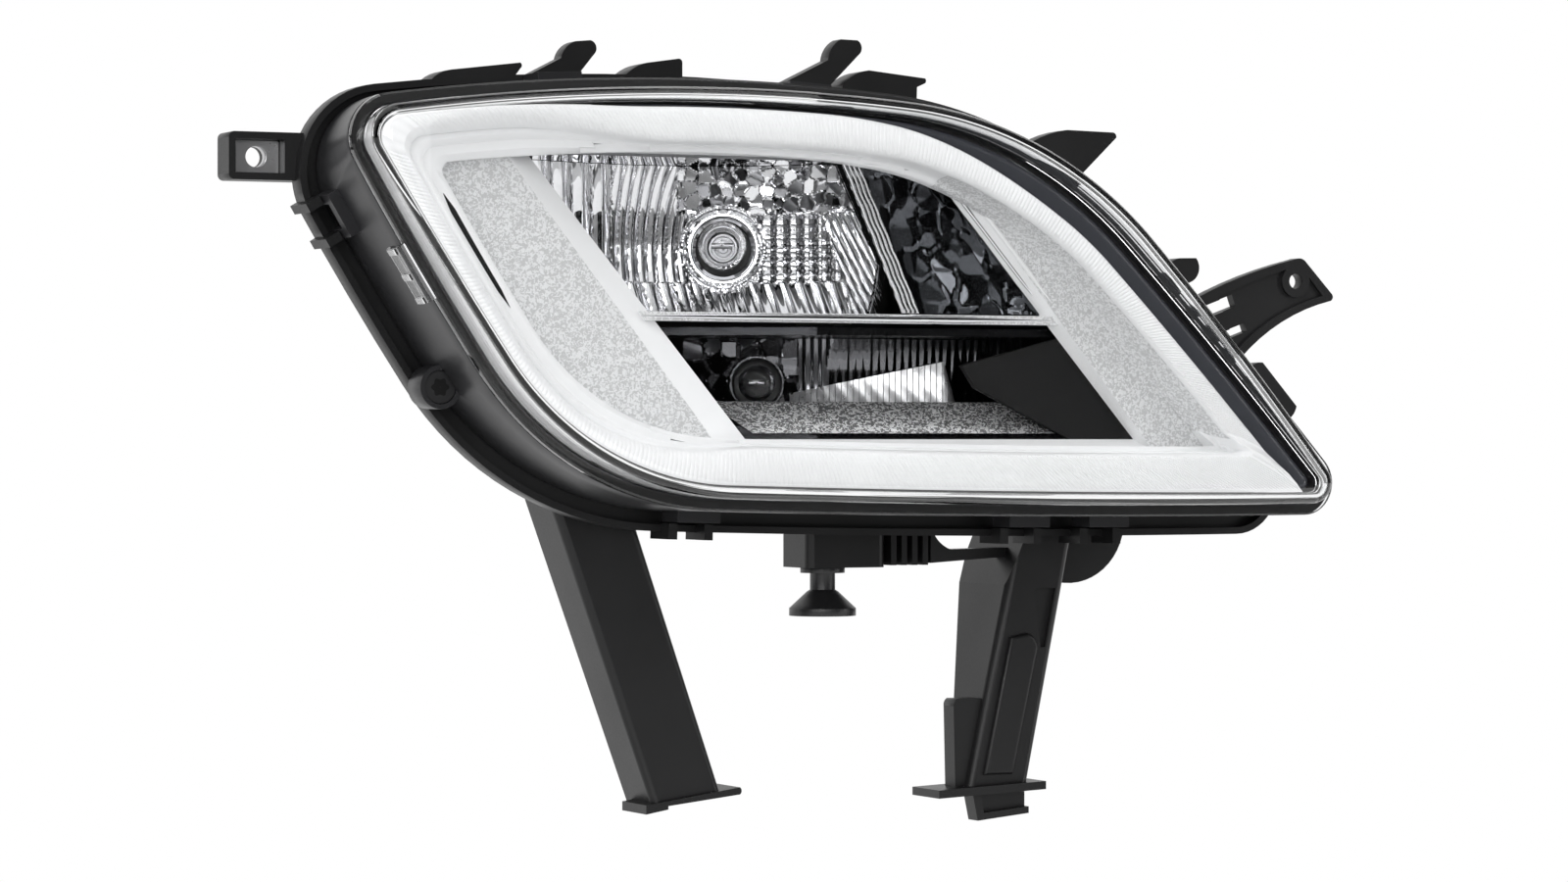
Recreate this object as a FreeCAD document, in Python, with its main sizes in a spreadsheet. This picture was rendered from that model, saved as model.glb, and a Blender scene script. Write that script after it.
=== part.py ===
import FreeCAD, Part
import math
import os

import Sketcher

# Auxiliary driving light for the corner of a car's front bumper, in millimetres.
# The datum is the screw hole of the side bracket: X runs along the lamp, Z is up and -Y is the lit side.
# The optical axis is yawed, because the leaf-shaped lens is swept back along the bumper.

DIMENSIONS = {
    # Leaf outline of the lens: a point, outward angle and radius of each side, then the corner radii
    "top_x": -195.0, "top_z": 47.0, "top_angle": 90.0, "top_radius": 600.0,
    "right_x": -48.0, "right_z": -12.5, "right_angle": 43.8, "right_radius": 1400.0,
    "bottom_x": -98.5, "bottom_z": -63.7, "bottom_angle": 269.4, "bottom_radius": 4400.0,
    "left_x": -265.0, "left_z": -13.0, "left_angle": 212.9, "left_radius": 900.0,
    "upper_right_round": 118.0, "lower_right_round": 8.5,
    "lower_left_round": 80.0, "upper_left_round": 11.0, "base_corner_round": 18.0, "least_round": 2.2,
    # Flange and pan of the rear housing
    "flange_overhang": 4.5, "flange_shift_x": -1.2, "flange_shift_z": -1.2,
    "flange_thickness": 3.0, "flange_opening_inset": 12.0, "lip_width": 1.8, "lip_height": 3.5,
    "housing_wall": 2.5, "pan_depth": 40.0, "pan_front_inset": 5.0, "pan_back_inset": 20.0,
    "tab_depth": 9.0, "hook_front": 1.0, "hook_back": 6.0, "clip_seat_radius": 8.0,
    # Side bracket with the datum hole, and its slots
    "bracket_thickness": 4.0, "bracket_hole_radius": 2.1, "bracket_boss": 4.4, "bracket_pocket": 0.9,
    "slot_length": 11.5, "slot_width": 3.4,
    # Left tab and its clip nut
    "tab_left": -308.2, "tab_length": 22.2, "tab_bottom": 21.0, "tab_height": 12.0, "tab_wall": 1.8,
    "tab_round": 1.5, "pocket_length": 12.8, "tab_hole": 8.4, "clip_plate": 3.0, "clip_hole_radius": 2.6,
    # Legs, feet and adjuster block
    "leg_front": 8.0, "leg_wall": 2.2, "left_leg_back": 26.0, "right_leg_back": 39.0, "right_leg_toe": 18.0,
    "leg_round": 2.0, "bulge": 1.3, "gusset_radius": 17.4, "gusset_thickness": 3.0,
    "block_left": -141.8, "block_right": -118.5, "block_front": 15.5, "block_back": 32.5,
    "block_bottom": -78.0, "block_top": -46.0, "block_round": 2.0, "rib_pitch": 4.4, "rib_thickness": 1.6,
    # Front frame, lens and their seals
    "seal_thickness": 0.8, "seal_inset": 0.5, "seal_width": 2.0,
    "frame_height": 34.0, "frame_wall": 3.0, "frame_flare": 0.5, "snap_reach": 3.2,
    "snap_gap": 0.4, "latch_width": 2.4, "latch_spread": 5.0, "latch_reach": 3.2, "latch_front": -9.0,
    "lens_foot": 2.4, "lens_step": 3.0, "lens_wall": 2.4, "lens_rise": 20.0, "lens_leg": 6.0,
    "lens_leg_gap": 0.3, "leg_corner_round": 12.4, "dome_radius": 1100.0, "dome_x": -158.0, "dome_z": -8.0,
    "lens_edge_round": 4.5, "lens_inner_round": 2.0,
    "boss_x": -256.9, "boss_z": -30.6, "boss_radius": 5.5, "boss_height": 13.0, "boss_bore": 2.4,
    # Trim bezel
    "band_outer_inset": 6.5, "band_inner_inset": 16.5, "band_front": -36.0, "band_back": -31.0,
    "band_round": 1.8, "skirt_inset": 8.5, "trim_wall": 1.8, "panel_front": -29.0, "panel_thickness": 2.0,
    "strip_depth": 3.5, "bar_top": -11.4, "bar_height": 2.3, "bar_depth": 6.0, "plate_thickness": 2.0,
    "plate_cover": 9.0,
    "opening_top": 28.5, "opening_bottom": -43.6, "opening_top_left": -239.7, "opening_bottom_left": -179.2,
    "opening_top_right": -128.8, "opening_bottom_right": -66.3,
    "mask_top": 34.0, "mask_top_left": -151.0, "mask_low_left": -130.5, "mask_gap": 0.1,
    "plate_tip_x": -117.2, "plate_tip_z": -24.4, "plate_nose_x": -113.2, "plate_nose_z": -30.3,
    "plate_foot_x": -78.4, "plate_foot_z": -47.0, "plate_right": -60.0,
    "plate_top_x": -84.0, "plate_top_z": -15.9,
    # Optical axes: yaw of both, reflector vertices and focal lengths
    "yaw": -25.0, "fog_x": -165.5, "fog_y": 18.4, "fog_z": 6.7, "fog_focus": 20.0,
    "signal_x": -155.0, "signal_y": 20.0, "signal_z": -28.8, "signal_focus": 30.0,
    "mirror_wall": 2.5, "cup_wall": 2.0, "fog_mouth": -18.0, "clearing": 120.0,
    "fog_reach": 68.0, "fog_left": -54.0, "fog_right_low": 50.0, "fog_right_high": 29.9, "fog_low": -20.0,
    "fog_high": 23.5, "signal_reach": 72.0, "signal_left": -32.0, "signal_right": 40.0, "signal_low": -15.9,
    "signal_high": 14.0, "trough_left": -142.0, "trough_right": -76.0, "trough_back": 7.0,
    "trough_radius": 32.0, "ledge_left": -190.0, "ledge_top": -34.0,
    "fog_hole_radius": 8.2, "signal_hole_radius": 6.5,
    # Tilt pivots of the fog reflector
    "pivot_depth": -12.0, "pin_radius": 3.0, "running_clearance": 0.05, "bush_radius": 5.0,
    "bush_length": 7.0, "post_half": 7.0, "post_sink": 1.6, "left_post": -58.0, "right_post": 47.0,
    "left_pin_end": -40.0, "right_pin_end": 38.0,
    # Aim screw, nut and clip
    "screw_x": -133.4, "screw_y": 24.0, "screw_radius": 3.4, "thread_radius": 3.0, "nut_clearance": 0.4,
    "nut_slot": 0.9, "nut_arc_slack": 0.007,
    "knob_radius": 9.0, "knob_rim": 1.2, "knob_bottom": -91.0, "collar_radius": 6.0, "collar_thickness": 1.5,
    "clip_groove": 0.5, "clip_radius": 6.0, "clip_height": 1.0, "clip_seat": -43.0, "thread_top": -1.0,
    "ring_seal_width": 1.8, "ring_seal_height": 1.5,
    "nut_radius": 5.4, "nut_flange": 7.5, "nut_bottom": -13.0, "nut_flange_height": 1.5, "arm_height": 4.0,
    "arm_ring": 8.0, "arm_width": 6.0,
    # Bulbs in their bosses
    "fog_boss_radius": 16.0, "fog_boss_reach": 11.03, "fog_base_radius": 10.0, "fog_flange_radius": 14.5,
    "fog_glass_radius": 6.2, "fog_glass_tip": -26.0, "fog_glass_foot": 9.0,
    "signal_boss_radius": 13.0, "signal_boss_reach": 9.91, "signal_base_radius": 8.0,
    "signal_flange_radius": 11.5, "signal_glass_radius": 4.8, "signal_glass_tip": -17.0,
    "signal_glass_foot": 12.0,
    "boss_wall": 2.5, "boss_floor": 2.6, "base_clearance": 0.1, "base_seal": 0.8, "base_flange": 3.2,
    "glass_wall": 0.8, "socket_length": 18.0, "socket_wall": 1.6, "blade_width": 2.8, "blade_thickness": 0.8,
    # Breather
    "vent_x": -236.0, "vent_z": 4.0, "nipple_radius": 3.5, "nipple_length": 9.0, "cap_radius": 6.5,
    "cap_length": 11.0,
}


class Size:
    """A number that keeps the spreadsheet expression it comes from."""

    def __init__(self, value, text):
        self.value = float(value)
        self.text = text

    def __add__(self, other):
        other = size(other)
        return Size(self.value + other.value, "(%s + %s)" % (self.text, other.text))

    def __sub__(self, other):
        other = size(other)
        return Size(self.value - other.value, "(%s - %s)" % (self.text, other.text))

    def __mul__(self, other):
        other = size(other)
        return Size(self.value * other.value, "(%s * %s)" % (self.text, other.text))

    def __truediv__(self, other):
        other = size(other)
        return Size(self.value / other.value, "(%s / %s)" % (self.text, other.text))

    def __radd__(self, other):
        return size(other) + self

    def __rsub__(self, other):
        return size(other) - self

    def __rmul__(self, other):
        return size(other) * self

    def __neg__(self):
        return Size(-self.value, "(0 - %s)" % self.text)


def size(number):
    if isinstance(number, Size):
        return number
    return Size(number, "(%.6f)" % float(number))


def sine(angle):
    return Size(math.sin(math.radians(angle.value)), "sin(%s * 1deg)" % angle.text)


def cosine(angle):
    return Size(math.cos(math.radians(angle.value)), "cos(%s * 1deg)" % angle.text)


def larger(first, second):
    return Size(max(first.value, second.value), "max(%s; %s)" % (first.text, second.text))


def root(number):
    return Size(math.sqrt(number.value), "sqrt(%s)" % number.text)


os.makedirs("parts", exist_ok=True)
doc = FreeCAD.newDocument("driving_light")
sheet = doc.addObject("Spreadsheet::Sheet", "dims")


class Named:
    """Gives every dimension of the sheet as an attribute."""


d = Named()
for row, (alias, number) in enumerate(DIMENSIONS.items(), 1):
    sheet.set("A%d" % row, alias)
    sheet.set("B%d" % row, str(number))
    sheet.setAlias("B%d" % row, alias)
    setattr(d, alias, Size(number, "dims.%s" % alias))
doc.recompute()

Vector = FreeCAD.Vector
Rotation = FreeCAD.Rotation
# Planes of the sketches: the rotation, and the axis along which the plane is moved
PLANES = {
    "XZ": (Rotation(Vector(1, 0, 0), 90), "y"),
    "YZ": (Rotation(Vector(1, 1, 1), 120), "x"),
    "XY": (Rotation(), "z"),
}
AXES = {"X": Rotation(Vector(0, 1, 0), 90), "Y": Rotation(Vector(1, 0, 0), -90), "Z": Rotation()}
SIDES = ("right", "top", "left", "bottom")
ROUNDS = ("upper_right_round", "upper_left_round", "lower_left_round", "lower_right_round")
pieces = []


def bind(thing, slot, amount):
    thing.setExpression(slot, size(amount).text)


def locate(thing, x, y, z):
    for axis, amount in zip("xyz", (x, y, z)):
        bind(thing, "Placement.Base." + axis, amount)


def pin_point(sketch, geometry, end, x, y):
    for kind, amount in (("DistanceX", size(x)), ("DistanceY", size(y))):
        index = sketch.addConstraint(Sketcher.Constraint(kind, -1, 1, geometry, end, amount.value))
        bind(sketch, "Constraints[%d]" % index, amount)


def set_radius(sketch, geometry, amount):
    index = sketch.addConstraint(Sketcher.Constraint("Radius", geometry, amount.value))
    bind(sketch, "Constraints[%d]" % index, amount)


def blank_sketch(name, plane, level):
    sketch = doc.addObject("Sketcher::SketchObject", name)
    turn, axis = PLANES[plane]
    sketch.Placement = FreeCAD.Placement(Vector(), turn)
    bind(sketch, "Placement.Base." + axis, level)
    return sketch


def leaf(name, level, offset, shift_x=0.0, shift_z=0.0, corner=None):
    """Leaf outline moved outwards by an offset: four long arcs joined by four tangent corner arcs."""
    offset = size(offset)
    sketch = blank_sketch(name, "XZ", level)
    sides = []
    for side in SIDES:
        radius = getattr(d, side + "_radius")
        angle = getattr(d, side + "_angle")
        x = getattr(d, side + "_x") - radius * cosine(angle) + shift_x
        z = getattr(d, side + "_z") - radius * sine(angle) + shift_z
        sides.append((x, z, radius + offset, angle.value))
    rounds = [larger(getattr(d, place) + offset, d.least_round) for place in ROUNDS]
    if corner is not None:
        rounds[1] = larger(corner + offset, d.least_round)
    centres = []
    for index in range(4):
        one = sides[index]
        two = sides[(index + 1) % 4]
        first = one[2].value - rounds[index].value
        second = two[2].value - rounds[index].value
        start = Vector(one[0].value, one[1].value, 0)
        span = Vector(two[0].value, two[1].value, 0) - start
        along = (first ** 2 - second ** 2 + span.Length ** 2) / (2 * span.Length)
        across = math.sqrt(first ** 2 - along ** 2)
        unit = span / span.Length
        turn = one[3] + ((two[3] - one[3]) % 360) / 2
        outward = Vector(math.cos(math.radians(turn)), math.sin(math.radians(turn)), 0)
        normal = Vector(-unit.y, unit.x, 0)
        if normal.dot(outward) < 0:
            normal = -normal
        centres.append(start + unit * along + normal * across)
    for index in range(4):
        x, z, radius, angle = sides[index]
        centre = Vector(x.value, z.value, 0)
        before = centres[index - 1] - centre
        after = centres[index] - centre
        begin = math.atan2(before.y, before.x)
        finish = math.atan2(after.y, after.x)
        following = sides[(index + 1) % 4]
        leave = centres[index] - Vector(following[0].value, following[1].value, 0)
        depart = math.atan2(leave.y, leave.x)
        circle = Part.Circle(centre, Vector(0, 0, 1), radius.value)
        sketch.addGeometry(Part.ArcOfCircle(circle, begin, finish + (2 * math.pi if finish < begin else 0)))
        circle = Part.Circle(centres[index], Vector(0, 0, 1), rounds[index].value)
        sketch.addGeometry(Part.ArcOfCircle(circle, finish, depart + (2 * math.pi if depart < finish else 0)))
    for index in range(8):
        sketch.addConstraint(Sketcher.Constraint("Tangent", index, 2, (index + 1) % 8, 1))
    for index in range(4):
        set_radius(sketch, 2 * index, sides[index][2])
        set_radius(sketch, 2 * index + 1, rounds[index])
        pin_point(sketch, 2 * index, 3, sides[index][0], sides[index][1])
    return sketch


def outline(sketch, points):
    """Closed outline; a third value at a point makes the edge that arrives there an arc of that radius."""
    corners = [(size(point[0]), size(point[1])) for point in points]
    places = [Vector(x.value, y.value, 0) for x, y in corners]
    for index, point in enumerate(points):
        begin = places[index - 1]
        finish = places[index]
        if len(point) == 2:
            sketch.addGeometry(Part.LineSegment(begin, finish))
            continue
        radius = size(point[2]).value
        middle = (begin + finish) * 0.5
        half = (finish - begin) * 0.5
        unit = Vector(half.y, -half.x, 0) / half.Length
        height = abs(radius) - math.sqrt(max(radius ** 2 - half.Length ** 2, 0.0))
        bulge = middle + unit * (height if radius > 0 else -height)
        clockwise = (bulge - begin).cross(finish - begin).z < 0
        ends = (finish, begin) if clockwise else (begin, finish)
        sketch.addGeometry(Part.Arc(ends[0], bulge, ends[1]))
    starts = []
    for index in range(len(points)):
        arrives = (sketch.Geometry[index].EndPoint - places[index]).Length < 1e-6
        starts.append((2, 1) if arrives else (1, 2))
    for index, point in enumerate(points):
        following = (index + 1) % len(points)
        here = starts[index][0]
        sketch.addConstraint(Sketcher.Constraint("Coincident", index, here, following, starts[following][1]))
        pin_point(sketch, index, here, corners[index][0], corners[index][1])
        if len(point) == 3:
            amount = size(point[2])
            set_radius(sketch, index, amount if amount.value > 0 else -amount)
    return sketch


def extrude(name, sketch, length):
    solid = doc.addObject("Part::Extrusion", name)
    solid.Base = sketch
    solid.DirMode = "Normal"
    solid.Solid = True
    bind(solid, "LengthFwd", length)
    return solid


def leaf_slab(name, front, back, offset, shift_x=0.0, shift_z=0.0, corner=None):
    return extrude(name, leaf(name + "_outline", back, offset, shift_x, shift_z, corner), size(back) - front)


def leaf_loft(name, stations):
    loft = doc.addObject("Part::Loft", name)
    loft.Sections = [leaf("%s_section_%d" % (name, index), level, offset, corner=corner)
                     for index, (level, offset, corner) in enumerate(stations)]
    loft.Solid = True
    loft.Ruled = True
    return loft


def prism(name, plane, points, low, high):
    level = high if plane == "XZ" else low
    sketch = outline(blank_sketch(name + "_outline", plane, level), points)
    return extrude(name, sketch, size(high) - low)


def box(name, x, y, z):
    solid = doc.addObject("Part::Box", name)
    for slot, (low, high) in zip(("Length", "Width", "Height"), (x, y, z)):
        bind(solid, slot, size(high) - low)
    locate(solid, x[0], y[0], z[0])
    return solid


def cylinder(name, axis, base, radius, length):
    solid = doc.addObject("Part::Cylinder", name)
    bind(solid, "Radius", radius)
    bind(solid, "Height", length)
    solid.Placement = FreeCAD.Placement(Vector(), AXES[axis])
    locate(solid, *base)
    return solid


def fuse(name, shapes):
    result = doc.addObject("Part::MultiFuse", name)
    result.Shapes = shapes
    result.Refine = True
    return result


def common(name, shapes):
    result = doc.addObject("Part::MultiCommon", name)
    result.Shapes = shapes
    return result


def cut(name, base, tools):
    result = doc.addObject("Part::Cut", name)
    result.Base = base
    result.Tool = tools[0] if len(tools) == 1 else fuse(name + "_tools", tools)
    return result


def group(name, shapes):
    result = doc.addObject("Part::Compound", name)
    result.Links = shapes
    return result


def turned(name, plane, profile):
    """Body turned about the sketch's vertical axis; the profile is (radius, height) from that axis."""
    if any(len(point) == 3 for point in profile):
        solid = doc.addObject("Part::Revolution", name)
        solid.Source = outline(blank_sketch(name + "_profile", plane, 0.0), profile)
        solid.Axis = Vector(0, 1, 0) if plane == "XY" else Vector(0, 0, 1)
        solid.Angle = 360.0
        solid.Solid = True
        return solid
    body = doc.addObject("PartDesign::Body", name)
    sketch = body.newObject("Sketcher::SketchObject", name + "_profile")
    role = {"XY": "XY_Plane", "XZ": "XZ_Plane"}[plane]
    support = [feature for feature in body.Origin.OriginFeatures if feature.Role == role][0]
    sketch.AttachmentSupport = [(support, "")]
    sketch.MapMode = "FlatFace"
    outline(sketch, profile)
    revolution = body.newObject("PartDesign::Revolution", name + "_turned")
    revolution.Profile = sketch
    revolution.ReferenceAxis = (sketch, ["V_Axis"])
    revolution.Angle = 360.0
    body.Tip = revolution
    return body


def rounded(name, base, radius, chosen):
    """Rounds the edges for which chosen(edge) is true."""
    doc.recompute()
    solid = doc.addObject("Part::Fillet", name)
    solid.Base = base
    solid.Edges = [(index, radius.value, radius.value)
                   for index, edge in enumerate(base.Shape.Edges, 1) if chosen(edge)]
    return solid


def optical(thing, x, y, z):
    """Stands a piece, drawn with its axis along Y from the vertex, on a yawed optical axis."""
    thing.Placement = FreeCAD.Placement(Vector(), Rotation(Vector(0, 0, 1), d.yaw.value))
    bind(thing, "Placement.Rotation.Angle", Size(d.yaw.value, "(dims.yaw * 1deg)"))
    locate(thing, x, y, z)
    return thing


def on_fog(thing):
    return optical(thing, d.fog_x, d.fog_y, d.fog_z)


def on_signal(thing):
    return optical(thing, d.signal_x, d.signal_y, d.signal_z)


def finish(thing, label):
    thing.Label = label
    pieces.append(thing)
    return thing


def side_place(side, along, offset):
    """Point beside a long arc, at a distance along it from its given point, and the outward angle there."""
    radius = getattr(d, side + "_radius")
    angle = getattr(d, side + "_angle")
    turn = angle + along / radius * (180 / math.pi)
    x = getattr(d, side + "_x") + radius * (cosine(turn) - cosine(angle)) + offset * cosine(turn)
    z = getattr(d, side + "_z") + radius * (sine(turn) - sine(angle)) + offset * sine(turn)
    return x, z, turn


def side_block(name, side, along, width, low, high, front, back):
    """Block that stands on the outline: width along the side, from low to high offset, front to back in Y."""
    x, z, turn = side_place(side, size(along), size(0.0))
    out_x = cosine(turn)
    out_z = sine(turn)
    half = size(width) / 2
    corners = []
    for along_sign, reach in ((-1, low), (1, low), (1, high), (-1, high)):
        reach = size(reach)
        corners.append((x + reach * out_x - half * along_sign * out_z,
                        z + reach * out_z + half * along_sign * out_x))
    return prism(name, "XZ", corners[::-1], front, back)


# Rear housing: flange with a lip, and the pan behind it

frame_back = -d.seal_thickness
frame_front = frame_back - d.frame_height
lens_back = frame_front - d.seal_thickness
lens_front = lens_back - d.lens_foot
strip_back = d.panel_front + d.strip_depth
plate_back = strip_back + d.plate_thickness

flange_blank = leaf_slab("flange_blank", -d.lip_height, d.flange_thickness, d.flange_overhang,
                         d.flange_shift_x, d.flange_shift_z, d.base_corner_round)
flange_groove = leaf_slab("flange_groove", -d.lip_height - 2, 0.0, d.flange_overhang - d.lip_width,
                          d.flange_shift_x, d.flange_shift_z, d.base_corner_round)
flange = cut("flange", flange_blank, [flange_groove])
pan = leaf_loft("pan", [(d.flange_thickness - 1, -d.pan_front_inset, d.base_corner_round),
                        (d.pan_depth, -d.pan_back_inset, d.base_corner_round)])
pan_hollow = leaf_loft("pan_hollow", [
    (d.flange_thickness, -d.pan_front_inset - d.housing_wall, d.base_corner_round),
    (d.pan_depth - d.housing_wall, -d.pan_back_inset - d.housing_wall, d.base_corner_round)])
flange_opening = leaf_slab("flange_opening", -5.0, d.flange_thickness + 1, -d.flange_opening_inset,
                           corner=d.base_corner_round)


def is_upright(edge):
    return edge.BoundBox.XLength < 1e-6 and edge.BoundBox.ZLength < 1e-6


tab_block = box("tab_block", (d.tab_left, d.tab_left + d.tab_length), (0.0, d.tab_depth),
                (d.tab_bottom, d.tab_bottom + d.tab_height))
tabs = [
    prism("tab_one", "XZ", [(-255.7, 43), (-232.5, 43), (-232.5, 48.2), (-230.3, 51.1), (-230.3, 52.6, 0.9),
                            (-249.1, 50.2), (-255.7, 46, 9.0)], 0.0, d.tab_depth),
    prism("hook_one", "XZ", [(-229, 43), (-214.6, 43), (-214.6, 49.3), (-209.4, 55.6), (-210.5, 59.1, 2.1),
                             (-214.6, 58.7), (-218.7, 54.2, 6.0), (-229, 48.9)], d.hook_front, d.hook_back),
    prism("tab_two", "XZ", [(-201.2, 43), (-185.1, 43), (-185.1, 54.1), (-186.2, 55.1, 1.0), (-194.8, 53.8),
                            (-201.2, 50.3, 12.0)], 0.0, d.tab_depth),
    prism("hook_two", "XZ", [(-155, 43), (-142.1, 43), (-142.1, 49.6), (-133.8, 57.9), (-134.1, 61.8, 2.3),
                             (-139, 61.9), (-142.7, 56.3, 7.0), (-155, 50.2)], d.hook_front, d.hook_back),
    prism("tab_three", "XZ", [(-139, 40), (-117.3, 40), (-117, 49.9), (-114.6, 51), (-114.6, 52.3, 0.9),
                              (-131.2, 53.9), (-139, 49.7, 12.0)], 0.0, d.tab_depth),
    prism("slope_tab", "XZ", [(-84, 12), (-56.6, 38.1), (-57.6, 39.5, 1.2), (-71.7, 39.8),
                              (-82.6, 36.2, 30.0), (-104, 28)], 0.0, d.hook_back),
    prism("slope_nub", "XZ", [(-55, -10), (-33, -0.5), (-31.7, 5.9, 4.2), (-36.7, 5.8), (-40.1, 4.1, 6.0),
                              (-64, 0)], 0.0, d.hook_back),
    prism("side_bracket", "XZ", [(-40, -26), (-17.8, -21.5), (11.1, -5.3, -58.0), (11.5, -3.3, 1.2),
                                 (3.3, 5.3), (-0.1, 6.1, 2.8), (-32.5, -5.5, 148.0), (-60, -5.5)],
          0.0, d.bracket_thickness),
    prism("clip_loop", "XZ", [(-22, -44), (-5.3, -38.9), (0.2, -34.5, 5.5), (-10.6, -22.5),
                              (-14.9, -24.9, 4.0), (-34, -31)], 0.0, d.bracket_thickness),
    rounded("left_tab", tab_block, d.tab_round,
            lambda edge: is_upright(edge) and edge.BoundBox.XMax < d.tab_left.value + 1),
]


def is_front_long(edge):
    return edge.BoundBox.YMax < d.leg_front.value + 0.01 and edge.Length > 50


left_leg = rounded("left_leg_rounded", prism("left_leg_blank", "XZ", [
    (-189.8, -139), (-170.3, -136.2), (-204.2, -38), (-226.4, -38)], d.leg_front, d.left_leg_back),
    d.leg_round, is_front_long)
right_leg = rounded("right_leg_rounded", common("right_leg_blank", [
    prism("right_leg_front", "XZ", [(-98.2, -139), (-79.8, -139), (-60, -42), (-78, -42), (-80.3, -70.1),
                                    (-85.8, -83)], d.leg_front, d.right_leg_back + 1),
    prism("right_leg_side", "YZ", [(d.leg_front, -139), (d.right_leg_toe, -139), (d.right_leg_back, -75),
                                   (d.right_leg_back, -42), (d.leg_front, -42)], -110.0, -50.0)]),
    d.leg_round, is_front_long)
left_hollow = prism("left_leg_hollow", "XZ", [(-187.0, -135.5), (-174.2, -133.5), (-197.5, -71),
                                              (-212.2, -71)],
                    d.leg_front + d.leg_wall, d.left_leg_back + 5)
right_hollow = prism("right_leg_hollow", "XZ", [(-95, -135), (-82.6, -135), (-69.5, -76), (-78.5, -76),
                                                (-82.8, -86)],
                     d.leg_front + d.leg_wall, d.right_leg_back + 5)
right_recess = prism("right_leg_recess", "XZ", [(-75.6, -100), (-74.2, -100), (-71, -84), (-77.4, -84)],
                     d.leg_front - 5, d.leg_front + d.bulge)
leg_bulge = prism("leg_bulge", "XZ", [(-93.2, -134), (-84.5, -134), (-76.8, -100), (-80, -96, 4.0),
                                      (-85.2, -97)],
                  d.leg_front - d.bulge, d.leg_front + 1)
legs = [
    left_leg, right_leg,
    rounded("leg_bulge_rounded", leg_bulge, d.bulge * 0.8,
            lambda edge: edge.BoundBox.YMax < d.leg_front.value - d.bulge.value + 0.01),
    prism("left_foot", "XZ", [(-192.5, -141.3), (-186.2, -140.2), (-186.2, -139.3), (-165.7, -136.9),
                              (-165.7, -135.0, 1.2), (-192.5, -138.9)], 6.5, 22.5),
    prism("right_foot", "XZ", [(-107.9, -139.8), (-75.5, -138.2), (-75.5, -136), (-107.9, -137.6)],
          5.0, 21.0),
    prism("right_tongue", "XZ", [(-95.5, -146.2), (-80, -144.6), (-80, -137.5), (-97.3, -137.5)], 9.0, 12.0),
    prism("tongue_left", "XZ", [(-95.5, -146.2), (-93.4, -146.0), (-94.6, -137.5), (-97.3, -137.5)],
          6.5, 12.0),
    prism("tongue_end", "XZ", [(-95.5, -146.2), (-80, -144.6), (-80, -142.8), (-95, -144.3)], 6.5, 12.0),
    cylinder("gusset", "Y", (-56.0, 28.0, -66.0), d.gusset_radius, d.gusset_thickness),
    prism("leg_pad", "XZ", [(-100.5, -138), (-92, -138), (-88, -113.5), (-100, -113.5), (-101, -115.5, 2.0)],
          d.leg_front + 2, 16.0),
]
block_body = box("block_body", (d.block_left, d.block_right), (d.block_front, d.block_back),
                 (d.block_bottom, d.block_top))
web_right = d.block_right + 3.5 * d.rib_pitch
block = [
    rounded("adjuster_block", block_body, d.block_round,
            lambda edge: edge.BoundBox.XLength < 1e-6 and edge.BoundBox.YLength < 1e-6),
    box("block_web", (d.block_right - 1, web_right), (22.0, 24.5), (d.block_bottom + 0.5, d.block_top + 2)),
    prism("block_bar", "XZ", [(web_right - 2, d.block_bottom + 1), (-80.0, d.block_bottom + 2.6),
                              (-80.0, d.block_bottom + 5), (web_right + 4, d.block_bottom + 4.6),
                              (web_right - 2, d.block_bottom + 12, -9.0)], d.block_front, 21.0),
]
for index in range(4):
    left = d.block_right + 1.5 + d.rib_pitch * (index * 0.72)
    block.append(box("block_rib_%d" % (index + 1), (left, left + d.rib_thickness), (d.block_front, 23.0),
                     (d.block_bottom + 0.5, d.block_top)))
ribs = []
for index in range(5):
    left = -225.0 + 30.0 * index
    ribs.append(box("back_rib_%d" % (index + 1), (left, left + 2.0), (d.pan_depth - 1, d.pan_depth + 4),
                    (-34.0 if index > 1 else -16.0, 22.0 if index < 4 else 10.0)))
SNAPS = (("left", -31.0), ("bottom", -88.0), ("bottom", 8.0), ("bottom", 32.0), ("top", -40.0), ("top", 30.0))
latches = []
for index, (side, along) in enumerate(SNAPS[:4], 1):
    for end, sign in (("a", -1), ("b", 1)):
        latches.append(side_block("latch_%d%s" % (index, end), side, along + sign * d.latch_spread,
                                  d.latch_width, d.snap_reach + d.snap_gap, d.flange_overhang + d.latch_reach,
                                  d.latch_front, d.flange_thickness))


def bowl(name, focus, reach, vertex):
    """Solid in front of a paraboloid whose vertex lies on the Y axis, drawn with four arcs."""
    profile = [(0.0, vertex)]
    for step in range(1, 5):
        radius = size(reach) * step / 4
        middle = (radius - size(reach) / 8) / (2 * focus)
        slope = 1 + middle * middle
        profile.append((radius, vertex - radius * radius / (4 * focus), -(2 * focus * slope * root(slope))))
    profile.append((0.0, profile[-1][1]))
    return turned(name, "XY", profile)


def plug(name, radius, low, high):
    return turned(name, "XY", [(0.0, low), (radius, low), (radius, high), (0.0, high)])


def washer(name, plane, inner, outer, low, high):
    return turned(name, plane, [(inner, low), (outer, low), (outer, high), (inner, high)])


def upright_bore(name, radius, low, high):
    return cylinder(name, "Z", (d.screw_x, d.screw_y, low), radius, size(high) - low)


def along_axis(level, x, vertex):
    """Distance along a yawed optical axis at which a line at local x meets a plane across Y."""
    return (level - vertex - size(x) * sine(d.yaw)) / cosine(d.yaw)


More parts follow.
